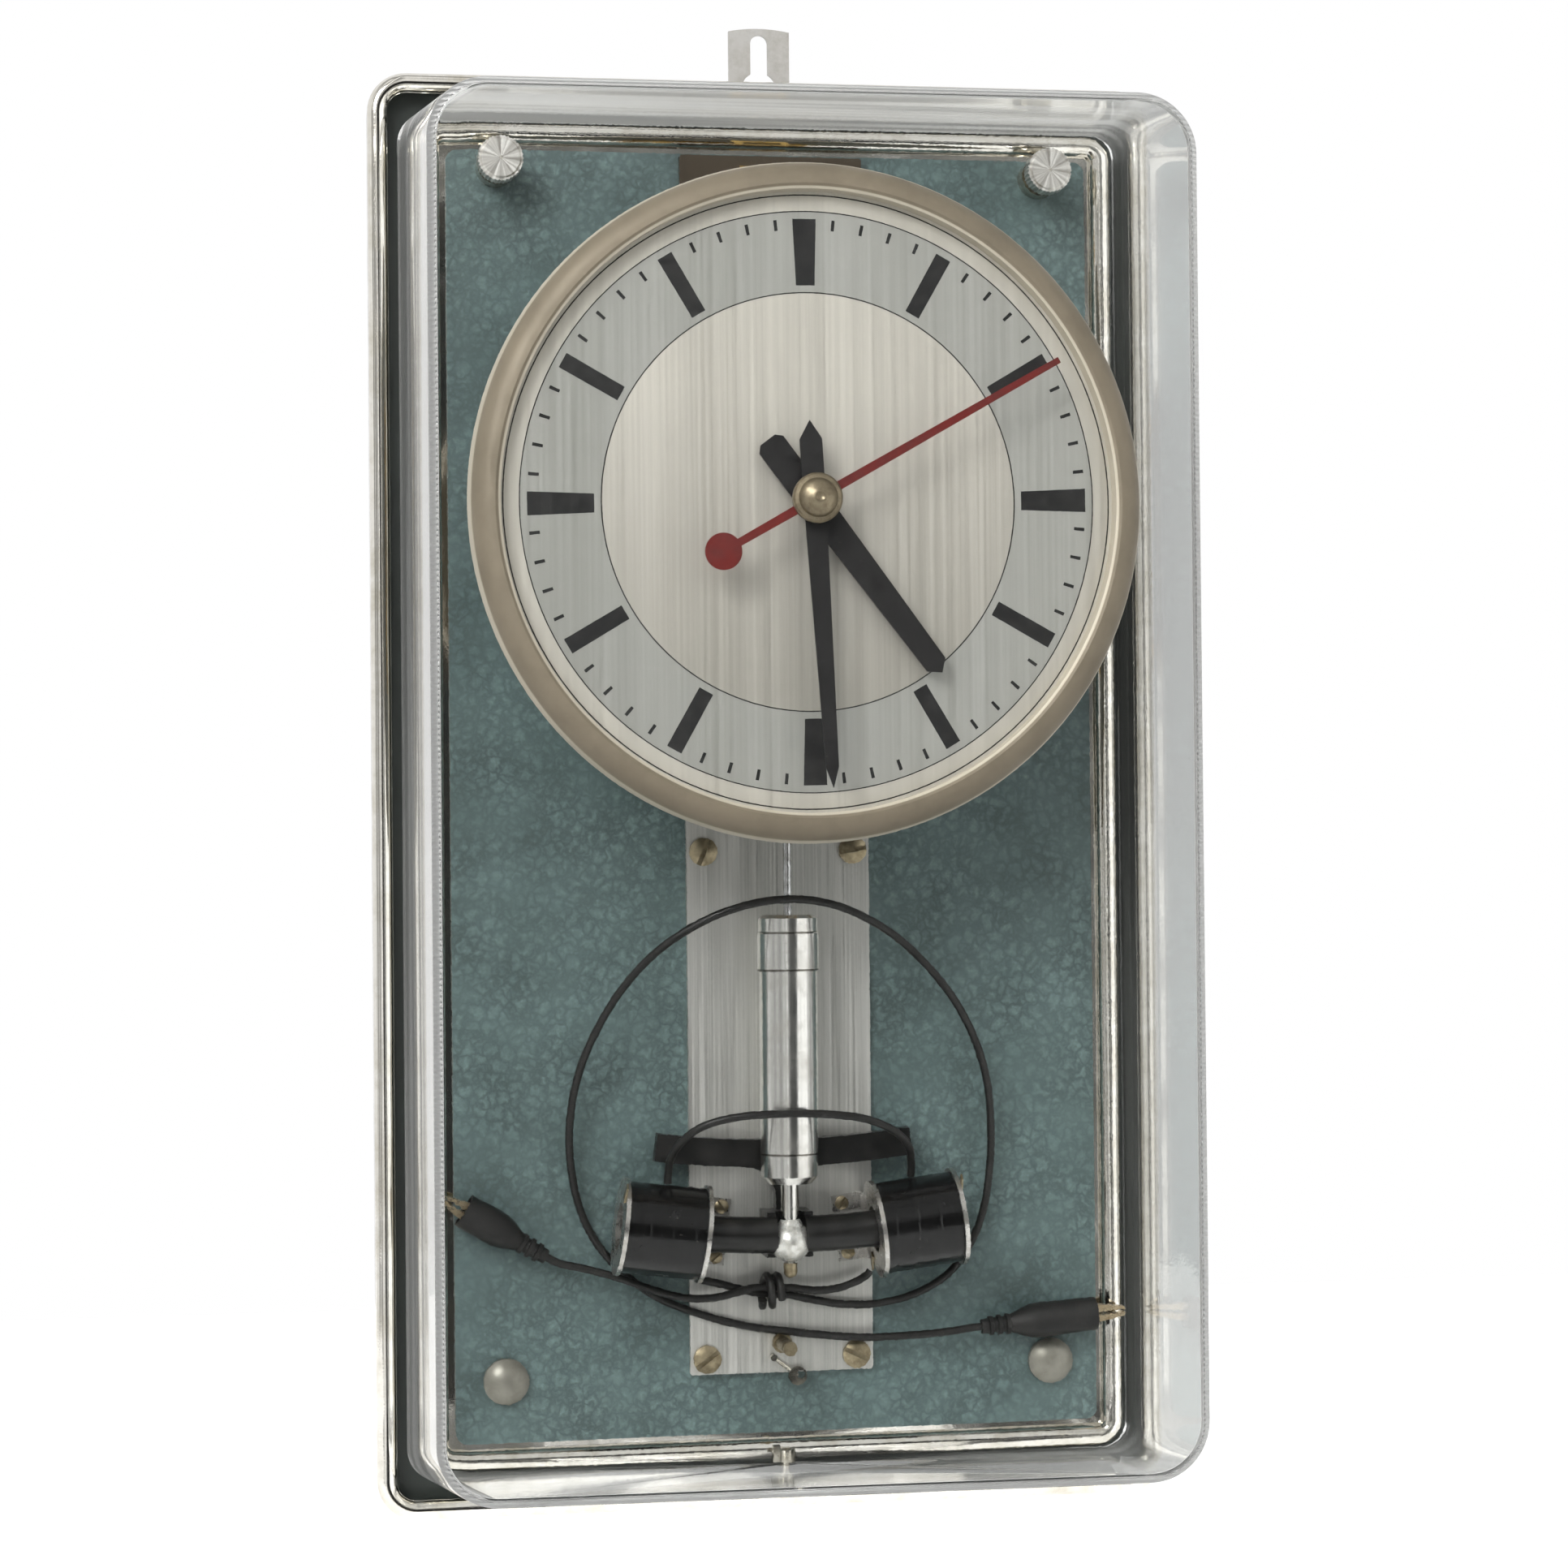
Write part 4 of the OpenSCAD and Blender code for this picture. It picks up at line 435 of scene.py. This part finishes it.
clear, tree, shader = finish("clear_acrylic", Base_Color=(0.93, 0.935, 0.93, 1), Transmission_Weight=1.0,
                             IOR=1.49, Specular_IOR_Level=0.3)
haze, normal = use(tree, handled, Patch=60.0, Grain=900.0, Wave=0.0, Pit=0.000004)
where = here(tree)
part = add(tree, "SeparateXYZ", {0: where}).outputs
tooth = reckon(tree, "SINE", reckon(tree, "MULTIPLY", part["Z"], 2 * math.pi / TRIM_PITCH))
corner_x, corner_y = ((COVER_EDGE - COVER_LEAN - COVER["plan"]) / 1000).tolist()
one_corner = vector(tree, "ABSOLUTE", vector(tree, "SUBTRACT", where, (0, 0, -SEAT_Y / 1000)))
past = vector(tree, "MAXIMUM", vector(tree, "SUBTRACT", one_corner, (corner_x, 1.0, corner_y)), (0, 0, 0))
past = vector(tree, "LENGTH", past)
near_rim = rise(tree, past, (COVER["plan"] - 2.2) / 1000, (COVER["plan"] - 1.5) / 1000)
near_front = rise(tree, part["Y"], (2.8 - COVER["high"]) / 1000, (2 - COVER["high"]) / 1000)
on_edge = reckon(tree, "MULTIPLY", near_rim, near_front)
trimmed = add(tree, "Bump", {"Height": reckon(tree, "MULTIPLY", tooth, on_edge), "Strength": 1.0,
                             "Distance": 0.00015, "Normal": normal})
rough_edge = reckon(tree, "ADD", between(tree, haze, 0.0, 0.05), reckon(tree, "MULTIPLY", on_edge, 0.4))
drive(shader, Roughness=rough_edge, Normal=trimmed.outputs[0])

# Rubbed and dusty, above all on top, the acrylic is whitened where it is seen along its surface, in
# broad streaks that follow the front, and on its broken edges. The whitening where the surface is seen
# edge-on is a painted sheen, strongest on top where the dust lies; the frosting on the broken edges is real.
slant = add(tree, "LayerWeight", {"Blend": 0.5}).outputs["Facing"]
streak = spots(tree, 1.0, 1, stretch=(4.0, 90.0, 4.0))
dusty = between(tree, part["Z"], 0.3, 1.0, -0.036, -0.03)
# Painted sheen: white where the acrylic is seen edge-on, in streaks, stronger on the dusty top.
dust_and_sheen = reckon(tree, "MULTIPLY", between(tree, slant, 0.0, 0.8, 0.74, 0.88),
               between(tree, streak, 0.5, 1.0, 0.4, 0.6))
dust_and_sheen = reckon(tree, "MAXIMUM", reckon(tree, "MULTIPLY", dust_and_sheen, dusty), reckon(tree, "MULTIPLY", on_edge, 0.3))
dust_and_sheen_colour = (0.86, 0.86, 0.85, 1)
front_light = add(tree, "BsdfDiffuse", {"Color": dust_and_sheen_colour})
back_light = add(tree, "BsdfTranslucent", {"Color": dust_and_sheen_colour})
dust_and_sheen_layer = add(tree, "MixShader", {0: 0.5, 1: front_light.outputs[0], 2: back_light.outputs[0]})
seen = add(tree, "MixShader", {0: dust_and_sheen, 1: shader.outputs[0], 2: dust_and_sheen_layer.outputs[0]})
shadow = add(tree, "LightPath").outputs["Is Shadow Ray"]
through_light = add(tree, "BsdfTransparent", {"Color": (0.96, 0.96, 0.955, 1)})
mixed = add(tree, "MixShader", {0: shadow, 1: seen.outputs[0], 2: through_light.outputs[0]})
tree.links.new(mixed.outputs[0], tree.nodes["Material Output"].inputs["Surface"])

SLOT_TOP, SLOT_HALF, SLOT_FOOT, WALL_Y = 23, 1.9, 2.0, -187.7
cover = piece("acrylic_cover", rings, skin(rings), clear, "cover", crisp=40)
arch = np.radians(np.linspace(0, 180, 17))
arch = np.stack([SLOT_HALF * np.cos(arch), SLOT_TOP + SLOT_HALF * np.sin(arch)], -1)
outline = np.vstack([[SLOT_HALF, SLOT_FOOT], arch, [-SLOT_HALF, SLOT_FOOT]])
rings = np.stack([np.insert(outline, 1, WALL_Y + side, axis=1) for side in (-8, 8)])
cutter = piece("slot_cutter", rings, skin(rings), clear, "cover")
cut = cover.modifiers.new("slot", "BOOLEAN")
cut.object, cut.operation, cut.solver = cutter, "DIFFERENCE", "EXACT"
bpy.context.view_layer.update()
slotted = bpy.data.meshes.new_from_object(cover.evaluated_get(bpy.context.evaluated_depsgraph_get()))
cover.modifiers.clear()
cover.data = slotted
bpy.data.objects.remove(cutter)
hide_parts("cover")

# The screw that holds the cover stands in a bush on the bead, both nickel plated. Above are two posts
# with knurled nuts of turned aluminium, below two plain domed buttons of the same size.
NUT_X, NUT_Y = 77, 173.5
nickel = worn("small_nickel", paint(206, 202, 190), paint(170, 162, 144), 0.12, 0.28, patch=400.0, grain=3000.0)
dress(nickel, "catch_bracket", "catch_screw", "upper_posts", "transport_hook")
dress(worn("button_nickel", paint(128, 126, 117), paint(110, 108, 98), 0.36, 0.46, metallic=0.5, patch=250.0,
           grain=3000.0), "lower_buttons")
for side, name in ((-1, "thumb_nut_left"), (1, "thumb_nut_right")):
    turned_face, tree, shader = finish("turned_" + name, Metallic=1.0)
    centred = vector(tree, "SUBTRACT", here(tree), tuple(facing([side * NUT_X, NUT_Y, 0])))
    spread = add(tree, "SeparateXYZ", {0: centred}).outputs
    # Painted reflection: light and dark spokes across each nut's face stand in for the sheen of its turning marks.
    spoke = reckon(tree, "MULTIPLY", reckon(tree, "ARCTAN2", spread["X"], spread["Z"]), 3.0)
    spoke_sheen = add(tree, "TexNoise", {"W": spoke, "Scale": 1.1, "Detail": 1.0}, noise_dimensions="1D").outputs["Fac"]
    drive(shader, Base_Color=between(tree, spoke_sheen, paint(178, 174, 167), paint(240, 238, 233), 0.34, 0.66),
          Roughness=between(tree, spoke_sheen, 0.3, 0.42, 0.3, 0.7))
    dress(turned_face, name)

# The base plate is a strip of aluminium, brushed lengthwise, held by six slotted screws whose brass has
# browned. Its top end, over the dial, is painted dark brown as shade.
BRUSH = (1600.0, 1600.0, 12.0)
TOP_SHADE_Z = -0.054, -0.046
brushed, inside, out = effect(
    "brushed", [("Stretch", "Vector", BRUSH), ("Depth", "Float", 0.00001)],
    [("Line", "Float"), ("Broad", "Float"), ("Normal", "Vector")])
along = vector(brushed, "MULTIPLY", here(brushed), inside["Stretch"])
lines = add(brushed, "TexNoise", {"Vector": along, "Scale": 1.0, "Detail": 3.0, "Roughness": 0.6}).outputs[0]
broad_at = vector(brushed, "SCALE", along, 0.06)
broad = add(brushed, "TexNoise", {"Vector": broad_at, "Scale": 1.0, "Detail": 2.0}).outputs[0]
ridge = add(brushed, "Bump", {"Height": lines, "Strength": 1.0, "Distance": inside["Depth"]})
for label, value in (("Line", lines), ("Broad", broad), ("Normal", ridge.outputs[0])):
    brushed.links.new(value, out[label])

plate_metal, tree, shader = finish("brushed_aluminium", Metallic=1.0)
line, broad, normal = use(tree, brushed, Stretch=BRUSH, Depth=0.00001)
shine = reckon(tree, "ADD", line, broad)
clean = between(tree, shine, paint(176, 176, 170), paint(224, 223, 218), 0.7, 1.3)
# Painted shade: the top end of the plate, above the dial, is painted dark brown.
drive(shader, Base_Color=mix(tree, rise(tree, here(tree, "Z"), *TOP_SHADE_Z), clean, paint(86, 78, 68)),
      Roughness=between(tree, line, 0.34, 0.48, 0.3, 0.7), Normal=normal)
dress(plate_metal, "base_plate")
aged = worn("aged_brass", paint(148, 137, 113), paint(104, 94, 74), 0.36, 0.52, patch=400.0, grain=3000.0)
dress(aged, "plate_screws", "lug_screws", "transport_post", "rating_nut")

# The movement: two brass plates on pillars, wheels of yellow brass on steel arbors, and the leaf spring
# that the pendulum hangs from.
brass = worn("movement_brass", paint(206, 176, 112), paint(160, 130, 78), 0.2, 0.36, patch=200.0)
steel = worn("movement_steel", paint(190, 190, 190), paint(140, 138, 134), 0.15, 0.3, patch=300.0)
dress(brass, "suspension_bracket", "pillars", "rear_plate", "front_plate", "count_wheel", "third_wheel",
      "centre_wheel", "motion_wheel", "hour_wheel", "dial_feet", "drive_pawl")
dress(steel, "suspension_spring", "movement_screws", "seconds_arbor", "cannon_pinion", "motion_stud",
      "click_spring")

# The dial is a thin aluminium disc with a silvered face, brushed up and down, its chapter ring a shade
# greyer than its middle. Painted shade darkens the middle towards the bottom and the chapter ring
# towards the left. The marks are printed on it in black ink, with thin lines round both rings.
DIAL_Y, FACE_Z = 76, 75.2
RING_R, EDGE_R = 0.0555, 0.077
silvered, tree, shader = finish("silvered_dial", Metallic=0.55)
spot = vector(tree, "SUBTRACT", here(tree), tuple(facing([0, DIAL_Y, FACE_Z])))
out_from = vector(tree, "LENGTH", spot)
line, broad, normal = use(tree, brushed, Stretch=(900.0, 900.0, 6.0), Depth=0.000006)
shine = reckon(tree, "ADD", line, broad)
middle = between(tree, shine, paint(186, 182, 172), paint(206, 202, 192), 0.7, 1.3)
chapter = between(tree, shine, paint(157, 157, 151), paint(171, 171, 166), 0.7, 1.3)
edge = between(tree, shine, paint(186, 182, 172), paint(200, 196, 186), 0.7, 1.3)
part = add(tree, "SeparateXYZ", {0: spot}).outputs
# Painted shade: the middle darkens towards the bottom and the chapter ring towards the left.
middle = vector(tree, "SCALE", middle, between(tree, part["Z"], 0.7, 0.98, -0.05, 0.03))
chapter = vector(tree, "SCALE", chapter, between(tree, part["X"], 0.93, 1.07, -0.07, 0.07))
colour = mix(tree, rise(tree, out_from, RING_R - 0.0001, RING_R + 0.0001), middle, chapter)
colour = mix(tree, rise(tree, out_from, EDGE_R - 0.0001, EDGE_R + 0.0001), colour, edge)
drive(shader, Base_Color=colour, Roughness=between(tree, line, 0.38, 0.5, 0.3, 0.7), Normal=normal)
dress(silvered, "dial")

DIAL_TURN = 0.64
INK_LOW, INK_HIGH = -0.04, 0.03


def on_dial(radius, angle, across=0.0):
    """Place on the dial for a radius and an angle clockwise from twelve, set off sideways by across."""
    angle = np.radians(angle - DIAL_TURN)
    return np.stack([radius * np.sin(angle) + across * np.cos(angle),
                     DIAL_Y + radius * np.cos(angle) - across * np.sin(angle)], -1)


def prisms(corners, low, high):
    """Flat marks given by their corners, raised from low to high: points and faces of all of them."""
    n, m = corners.shape[:2]
    points = np.stack([np.concatenate([corners, np.full((n, m, 1), z)], -1) for z in (low, high)], 1)
    faces = []
    for k in range(n):
        faces += skin(points[k], start=2 * m * k)
    return points.reshape(-1, 3), faces


minutes = np.arange(60)
hours, quarters = minutes % 5 == 0, minutes % 15 == 0
outer_r = 75.05
inner_r = np.where(hours, 57.4, 72.2)
inner_w = np.where(quarters, 2.5, np.where(hours, 2.05, 0.42))
outer_w = np.where(quarters, 3.15, np.where(hours, 2.15, 0.45))
angle = minutes * 6.0
corners = np.stack([on_dial(inner_r, angle, -inner_w), on_dial(inner_r, angle, inner_w),
                    on_dial(outer_r, angle, outer_w), on_dial(outer_r, angle, -outer_w)], 1)
points, faces = prisms(corners, FACE_Z + INK_LOW, FACE_Z + INK_HIGH)
angle = np.arange(0, 360, 2.0)
section = [[-1, INK_LOW], [-1, INK_HIGH], [1, INK_HIGH], [1, INK_LOW]]
for radius, width in ((55.5, 0.32), (77.05, 0.3), (81.4, 0.35)):
    rings = np.stack([np.insert(on_dial(radius + width / 2 * side, angle), 2, FACE_Z + z, axis=1)
                      for side, z in section + section[:1]])
    faces += skin(rings, caps=False, start=len(points))
    points = np.vstack([points, rings.reshape(-1, 3)])
ink = worn("print_ink", paint(18, 18, 18), paint(30, 29, 28), 0.4, 0.55, metallic=0.0, patch=300.0)
piece("dial_print", points, faces, ink, "case")

# A turned ring of nickel-bronze, dulled to a warm grey, holds the dial's edge. Its two corners carry
# painted highlights, thin light rings.
EDGE_HIGHLIGHT_RINGS = (0.0832, 0.0829), (0.0896, 0.0899)
bezel_metal, tree, shader = finish("bezel_bronze", Metallic=0.2, Specular_IOR_Level=0.4)
spot = vector(tree, "SUBTRACT", here(tree), tuple(facing([0, DIAL_Y, FACE_Z])))
out_from = vector(tree, "LENGTH", vector(tree, "MULTIPLY", spot, (1.0, 0.0, 1.0)))
grooves = add(tree, "TexNoise", {"W": out_from, "Scale": 9000.0, "Detail": 2.0},
              noise_dimensions="1D").outputs["Fac"]
haze, normal = use(tree, handled, Patch=70.0, Grain=1500.0, Wave=0.0, Pit=0.00001)
band = between(tree, haze, paint(122, 112, 96), paint(110, 101, 86))
# Painted highlights: thin light rings at the bezel's inner and outer corners.
for near, far in EDGE_HIGHLIGHT_RINGS:
    band = mix(tree, rise(tree, out_from, near, far), band, paint(182, 174, 158))
turning = add(tree, "Bump", {"Height": grooves, "Strength": 0.3, "Distance": 0.00001, "Normal": normal})
drive(shader, Base_Color=band, Roughness=between(tree, haze, 0.5, 0.62), Normal=turning.outputs[0])
dress(bezel_metal, "bezel")

# The hands are stamped from thin aluminium and lacquered, two black and one red. The minute hand carries
# a few fine scratches. A stepped brass cap is pressed on the middle.
black_hand, tree, shader = finish("black_lacquer", Specular_IOR_Level=0.4)
scratch_at = add(tree, "Mapping", {"Vector": here(tree), "Rotation": (0, 0.5, 0),
                                   "Scale": (300.0, 300.0, 3800.0)}).outputs[0]
scratch = add(tree, "TexNoise", {"Vector": scratch_at, "Scale": 1.0, "Detail": 2.0}).outputs["Fac"]
scratched = reckon(tree, "MULTIPLY", rise(tree, scratch, 0.7, 0.76), rise(tree, spots(tree, 90), 0.55, 0.65))
drive(shader, Base_Color=between(tree, scratched, paint(26, 25, 25), paint(84, 81, 79)),
      Roughness=between(tree, spots(tree, 200), 0.38, 0.52, 0.3, 0.7))
dress(black_hand, "hour_hand", "minute_hand")
dress(worn("red_lacquer", paint(96, 14, 7), paint(80, 11, 5), 0.42, 0.56, metallic=0.0, patch=150.0),
      "second_hand")
dress(worn("hub_brass", paint(136, 125, 105), paint(106, 97, 80), 0.38, 0.5, patch=500.0, grain=3000.0),
      "hub_cap")

# The pendulum: a steel rod, and a bob of chromed tube between a stepped cap and a cup, with a polished
# ball below it and a brass nut under the ball that regulates it. Dirt lies in the joints of the bob.
BOB_JOINTS = -38.8, -49.1, -99.6
tube_chrome, tree, shader = finish("bob_chrome", Metallic=1.0)
haze, normal = use(tree, handled, Patch=120.0, Wave=0.0)
colour = between(tree, haze, paint(220, 219, 215), paint(196, 193, 187))
height = here(tree, "Z")
for joint in BOB_JOINTS:
    off = reckon(tree, "ABSOLUTE", reckon(tree, "SUBTRACT", height, (joint - SEAT_Y) / 1000))
    colour = mix(tree, between(tree, off, 1.0, 0.0, 0.0001, 0.0004), colour, paint(104, 100, 92))
drive(shader, Base_Color=colour, Roughness=between(tree, haze, 0.17, 0.27), Normal=normal)
dress(tube_chrome, "bob_tube", "bob_cap", "bob_cup")
dress(worn("ball_chrome", paint(206, 206, 201), paint(164, 162, 154), 0.24, 0.42, metallic=0.7, patch=500.0,
           grain=2500.0, wave=0.0003), "magnet_ball")
dress(steel, "pendulum_rod")

# Behind the bob a black cast yoke carries the magnet, two black lacquered bars bent to the arc of swing.
# Both are brushed with the same thick lacquer.
dress(worn("yoke_lacquer", paint(13, 13, 12), paint(31, 30, 28), 0.3, 0.5, metallic=0.0, patch=180.0,
           wave=0.0001, pit=0.00002, Specular_IOR_Level=0.35), "return_yoke", "bar_magnet")

# The magnet swings through two coils. Their bobbins are turned from light metal, and the windings are
# wrapped in glossy black tape whose edges show as shallow steps, dusty in fine specks. Brass tags take the leads.
COIL_TILT, SWING_ARM, PIVOT_Y, SWING_Z = math.radians(7.24), 281.9, 160, 33
BOBBIN_LENGTH, FLANGE, TAPE_GAP = 24, 0.9, 0.05
TAPE_R, TAPE_STEP, TAPE_PITCH, TAPE_END = 12.42, 0.16, 6.2, 0.58
dress(worn("bobbin_metal", paint(196, 194, 190), paint(156, 152, 144), 0.25, 0.42, patch=300.0, grain=2500.0),
      "coil_bobbins", "coil_lugs")
dress(aged, "solder_tags")
tape, tree, shader = finish("winding_tape", Specular_IOR_Level=0.3, Coat_Weight=0.12, Coat_Roughness=0.12)
haze, normal = use(tree, handled, Patch=260.0, Grain=2500.0, Wave=0.00008, Pit=0.000004)
dust = rise(tree, spots(tree, 1900, 1), 0.76, 0.8)
drive(shader, Base_Color=between(tree, dust, paint(9, 9, 9), paint(96, 93, 88)),
      Roughness=between(tree, haze, 0.18, 0.3), Normal=normal)
reach = BOBBIN_LENGTH / 2 - FLANGE - TAPE_GAP
along = np.linspace(-reach, reach, 65)[:, None]
around = np.radians(np.arange(0, 360, 4.0))[None]
wrap = (along / TAPE_PITCH + around / (2 * np.pi)) % 1
radius = TAPE_R + TAPE_STEP * wrap + 0.05 * np.sin(3 * around)
side = np.stack([np.broadcast_to(along, radius.shape), radius * np.cos(around), radius * np.sin(around)], -1)
ends = side[[0, -1]] * [1, TAPE_END, TAPE_END]
x, y, z = np.moveaxis(np.concatenate([ends[:1], side, ends[1:], ends[:1]]), -1, 0)
y = y - SWING_ARM
points, faces = [], []
for mirror in (1, -1):
    coil = np.stack([mirror * (x * math.cos(COIL_TILT) - y * math.sin(COIL_TILT)),
                     PIVOT_Y + x * math.sin(COIL_TILT) + y * math.cos(COIL_TILT), SWING_Z + z], -1)
    faces += skin(coil, caps=False, start=len(points) * x.size)
    points.append(coil.reshape(-1, 3))
winding = piece("coil_tape", np.concatenate(points), faces, tape, "case", crisp=50)
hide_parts("coil_windings")

# The room: a plain pale floor below the clock, a broad soft lamp above on the left, a weaker one on the
# right, and a grey sky in soft upright bands that is white to the camera.
FLOOR_Z = -0.85
bpy.context.scene.view_settings.view_transform = "Standard"
floor_mesh = bpy.data.meshes.new("floor")
floor_mesh.from_pydata([(-3, -2, FLOOR_Z), (3, -2, FLOOR_Z), (3, 4, FLOOR_Z), (-3, 4, FLOOR_Z)], [],
                       [[0, 1, 2, 3]])
floor = bpy.data.objects.new("floor", floor_mesh)
bpy.context.scene.collection.objects.link(floor)
pale, tree, shader = finish("pale_floor", Base_Color=(0.8, 0.8, 0.79, 1), Roughness=0.9,
                            Emission_Color=(1, 1, 1, 1))
rays = add(tree, "LightPath").outputs
seen = reckon(tree, "MAXIMUM", rays["Is Camera Ray"], rays["Is Transmission Ray"])
seen = reckon(tree, "MAXIMUM", seen, rays["Is Glossy Ray"])
drive(shader, Emission_Strength=reckon(tree, "MULTIPLY", seen, 0.6))
floor_mesh.materials.append(pale)

# What the metal and the acrylic mirror: a room in light and dark bands, dark straight ahead where the
# photographer stands, with one bright window strip beside it, and an even pale wall behind the clock.
AHEAD, STRIP_AT = (0.18, -0.984, 0.0), 0.25
world = bpy.data.worlds.new("studio")
world.use_nodes = True
bpy.context.scene.world = world
tree = world.node_tree
way = add(tree, "TexCoord").outputs["Generated"]
split = add(tree, "SeparateXYZ", {0: way}).outputs
upright = vector(tree, "MULTIPLY", way, (1.0, 1.0, 0.3))
bands = add(tree, "TexNoise", {"Vector": upright, "Scale": 2.6, "Detail": 2.0}).outputs["Fac"]
room = between(tree, bands, (0.32, 0.32, 0.316, 1), (1.0, 1.0, 0.99, 1), 0.42, 0.6)
room = mix(tree, rise(tree, vector(tree, "DOT_PRODUCT", way, AHEAD), 0.945, 0.976), room, (0.02, 0.02, 0.02, 1))
strip = reckon(tree, "SUBTRACT", reckon(tree, "DIVIDE", split["X"], split["Y"]), STRIP_AT)
strip = between(tree, reckon(tree, "ABSOLUTE", strip), 1.0, 0.0, 0.03, 0.06)
room = mix(tree, strip, room, (1.6, 1.6, 1.58, 1))
room = mix(tree, rise(tree, split["Y"], -0.05, 0.25), room, (0.95, 0.95, 0.95, 1))
lit = add(tree, "Background", {"Color": room, "Strength": 1.0})
white = add(tree, "Background", {"Color": (1, 1, 1, 1), "Strength": 1.0})
seen = add(tree, "LightPath").outputs["Is Camera Ray"]
mixed = add(tree, "MixShader", {0: seen, 1: lit.outputs[0], 2: white.outputs[0]})
tree.links.new(mixed.outputs[0], tree.nodes["World Output"].inputs["Surface"])

for name, at, size, power in [
    ("key", (-900, 900, 1300), (0.7, 0.7), 22),
    ("fill", (1200, 100, 1100), (1.3, 1.6), 7),
]:
    lamp = bpy.data.lights.new(name, "AREA")
    lamp.shape, lamp.size, lamp.size_y, lamp.energy = "RECTANGLE", *size, power
    lamp_object = bpy.data.objects.new(name, lamp)
    bpy.context.scene.collection.objects.link(lamp_object)
    start = Vector(facing(at))
    lamp_object.location = start
    lamp_object.rotation_euler = (Vector(facing([0, 0, 40])) - start).to_track_quat("-Z", "Y").to_euler()
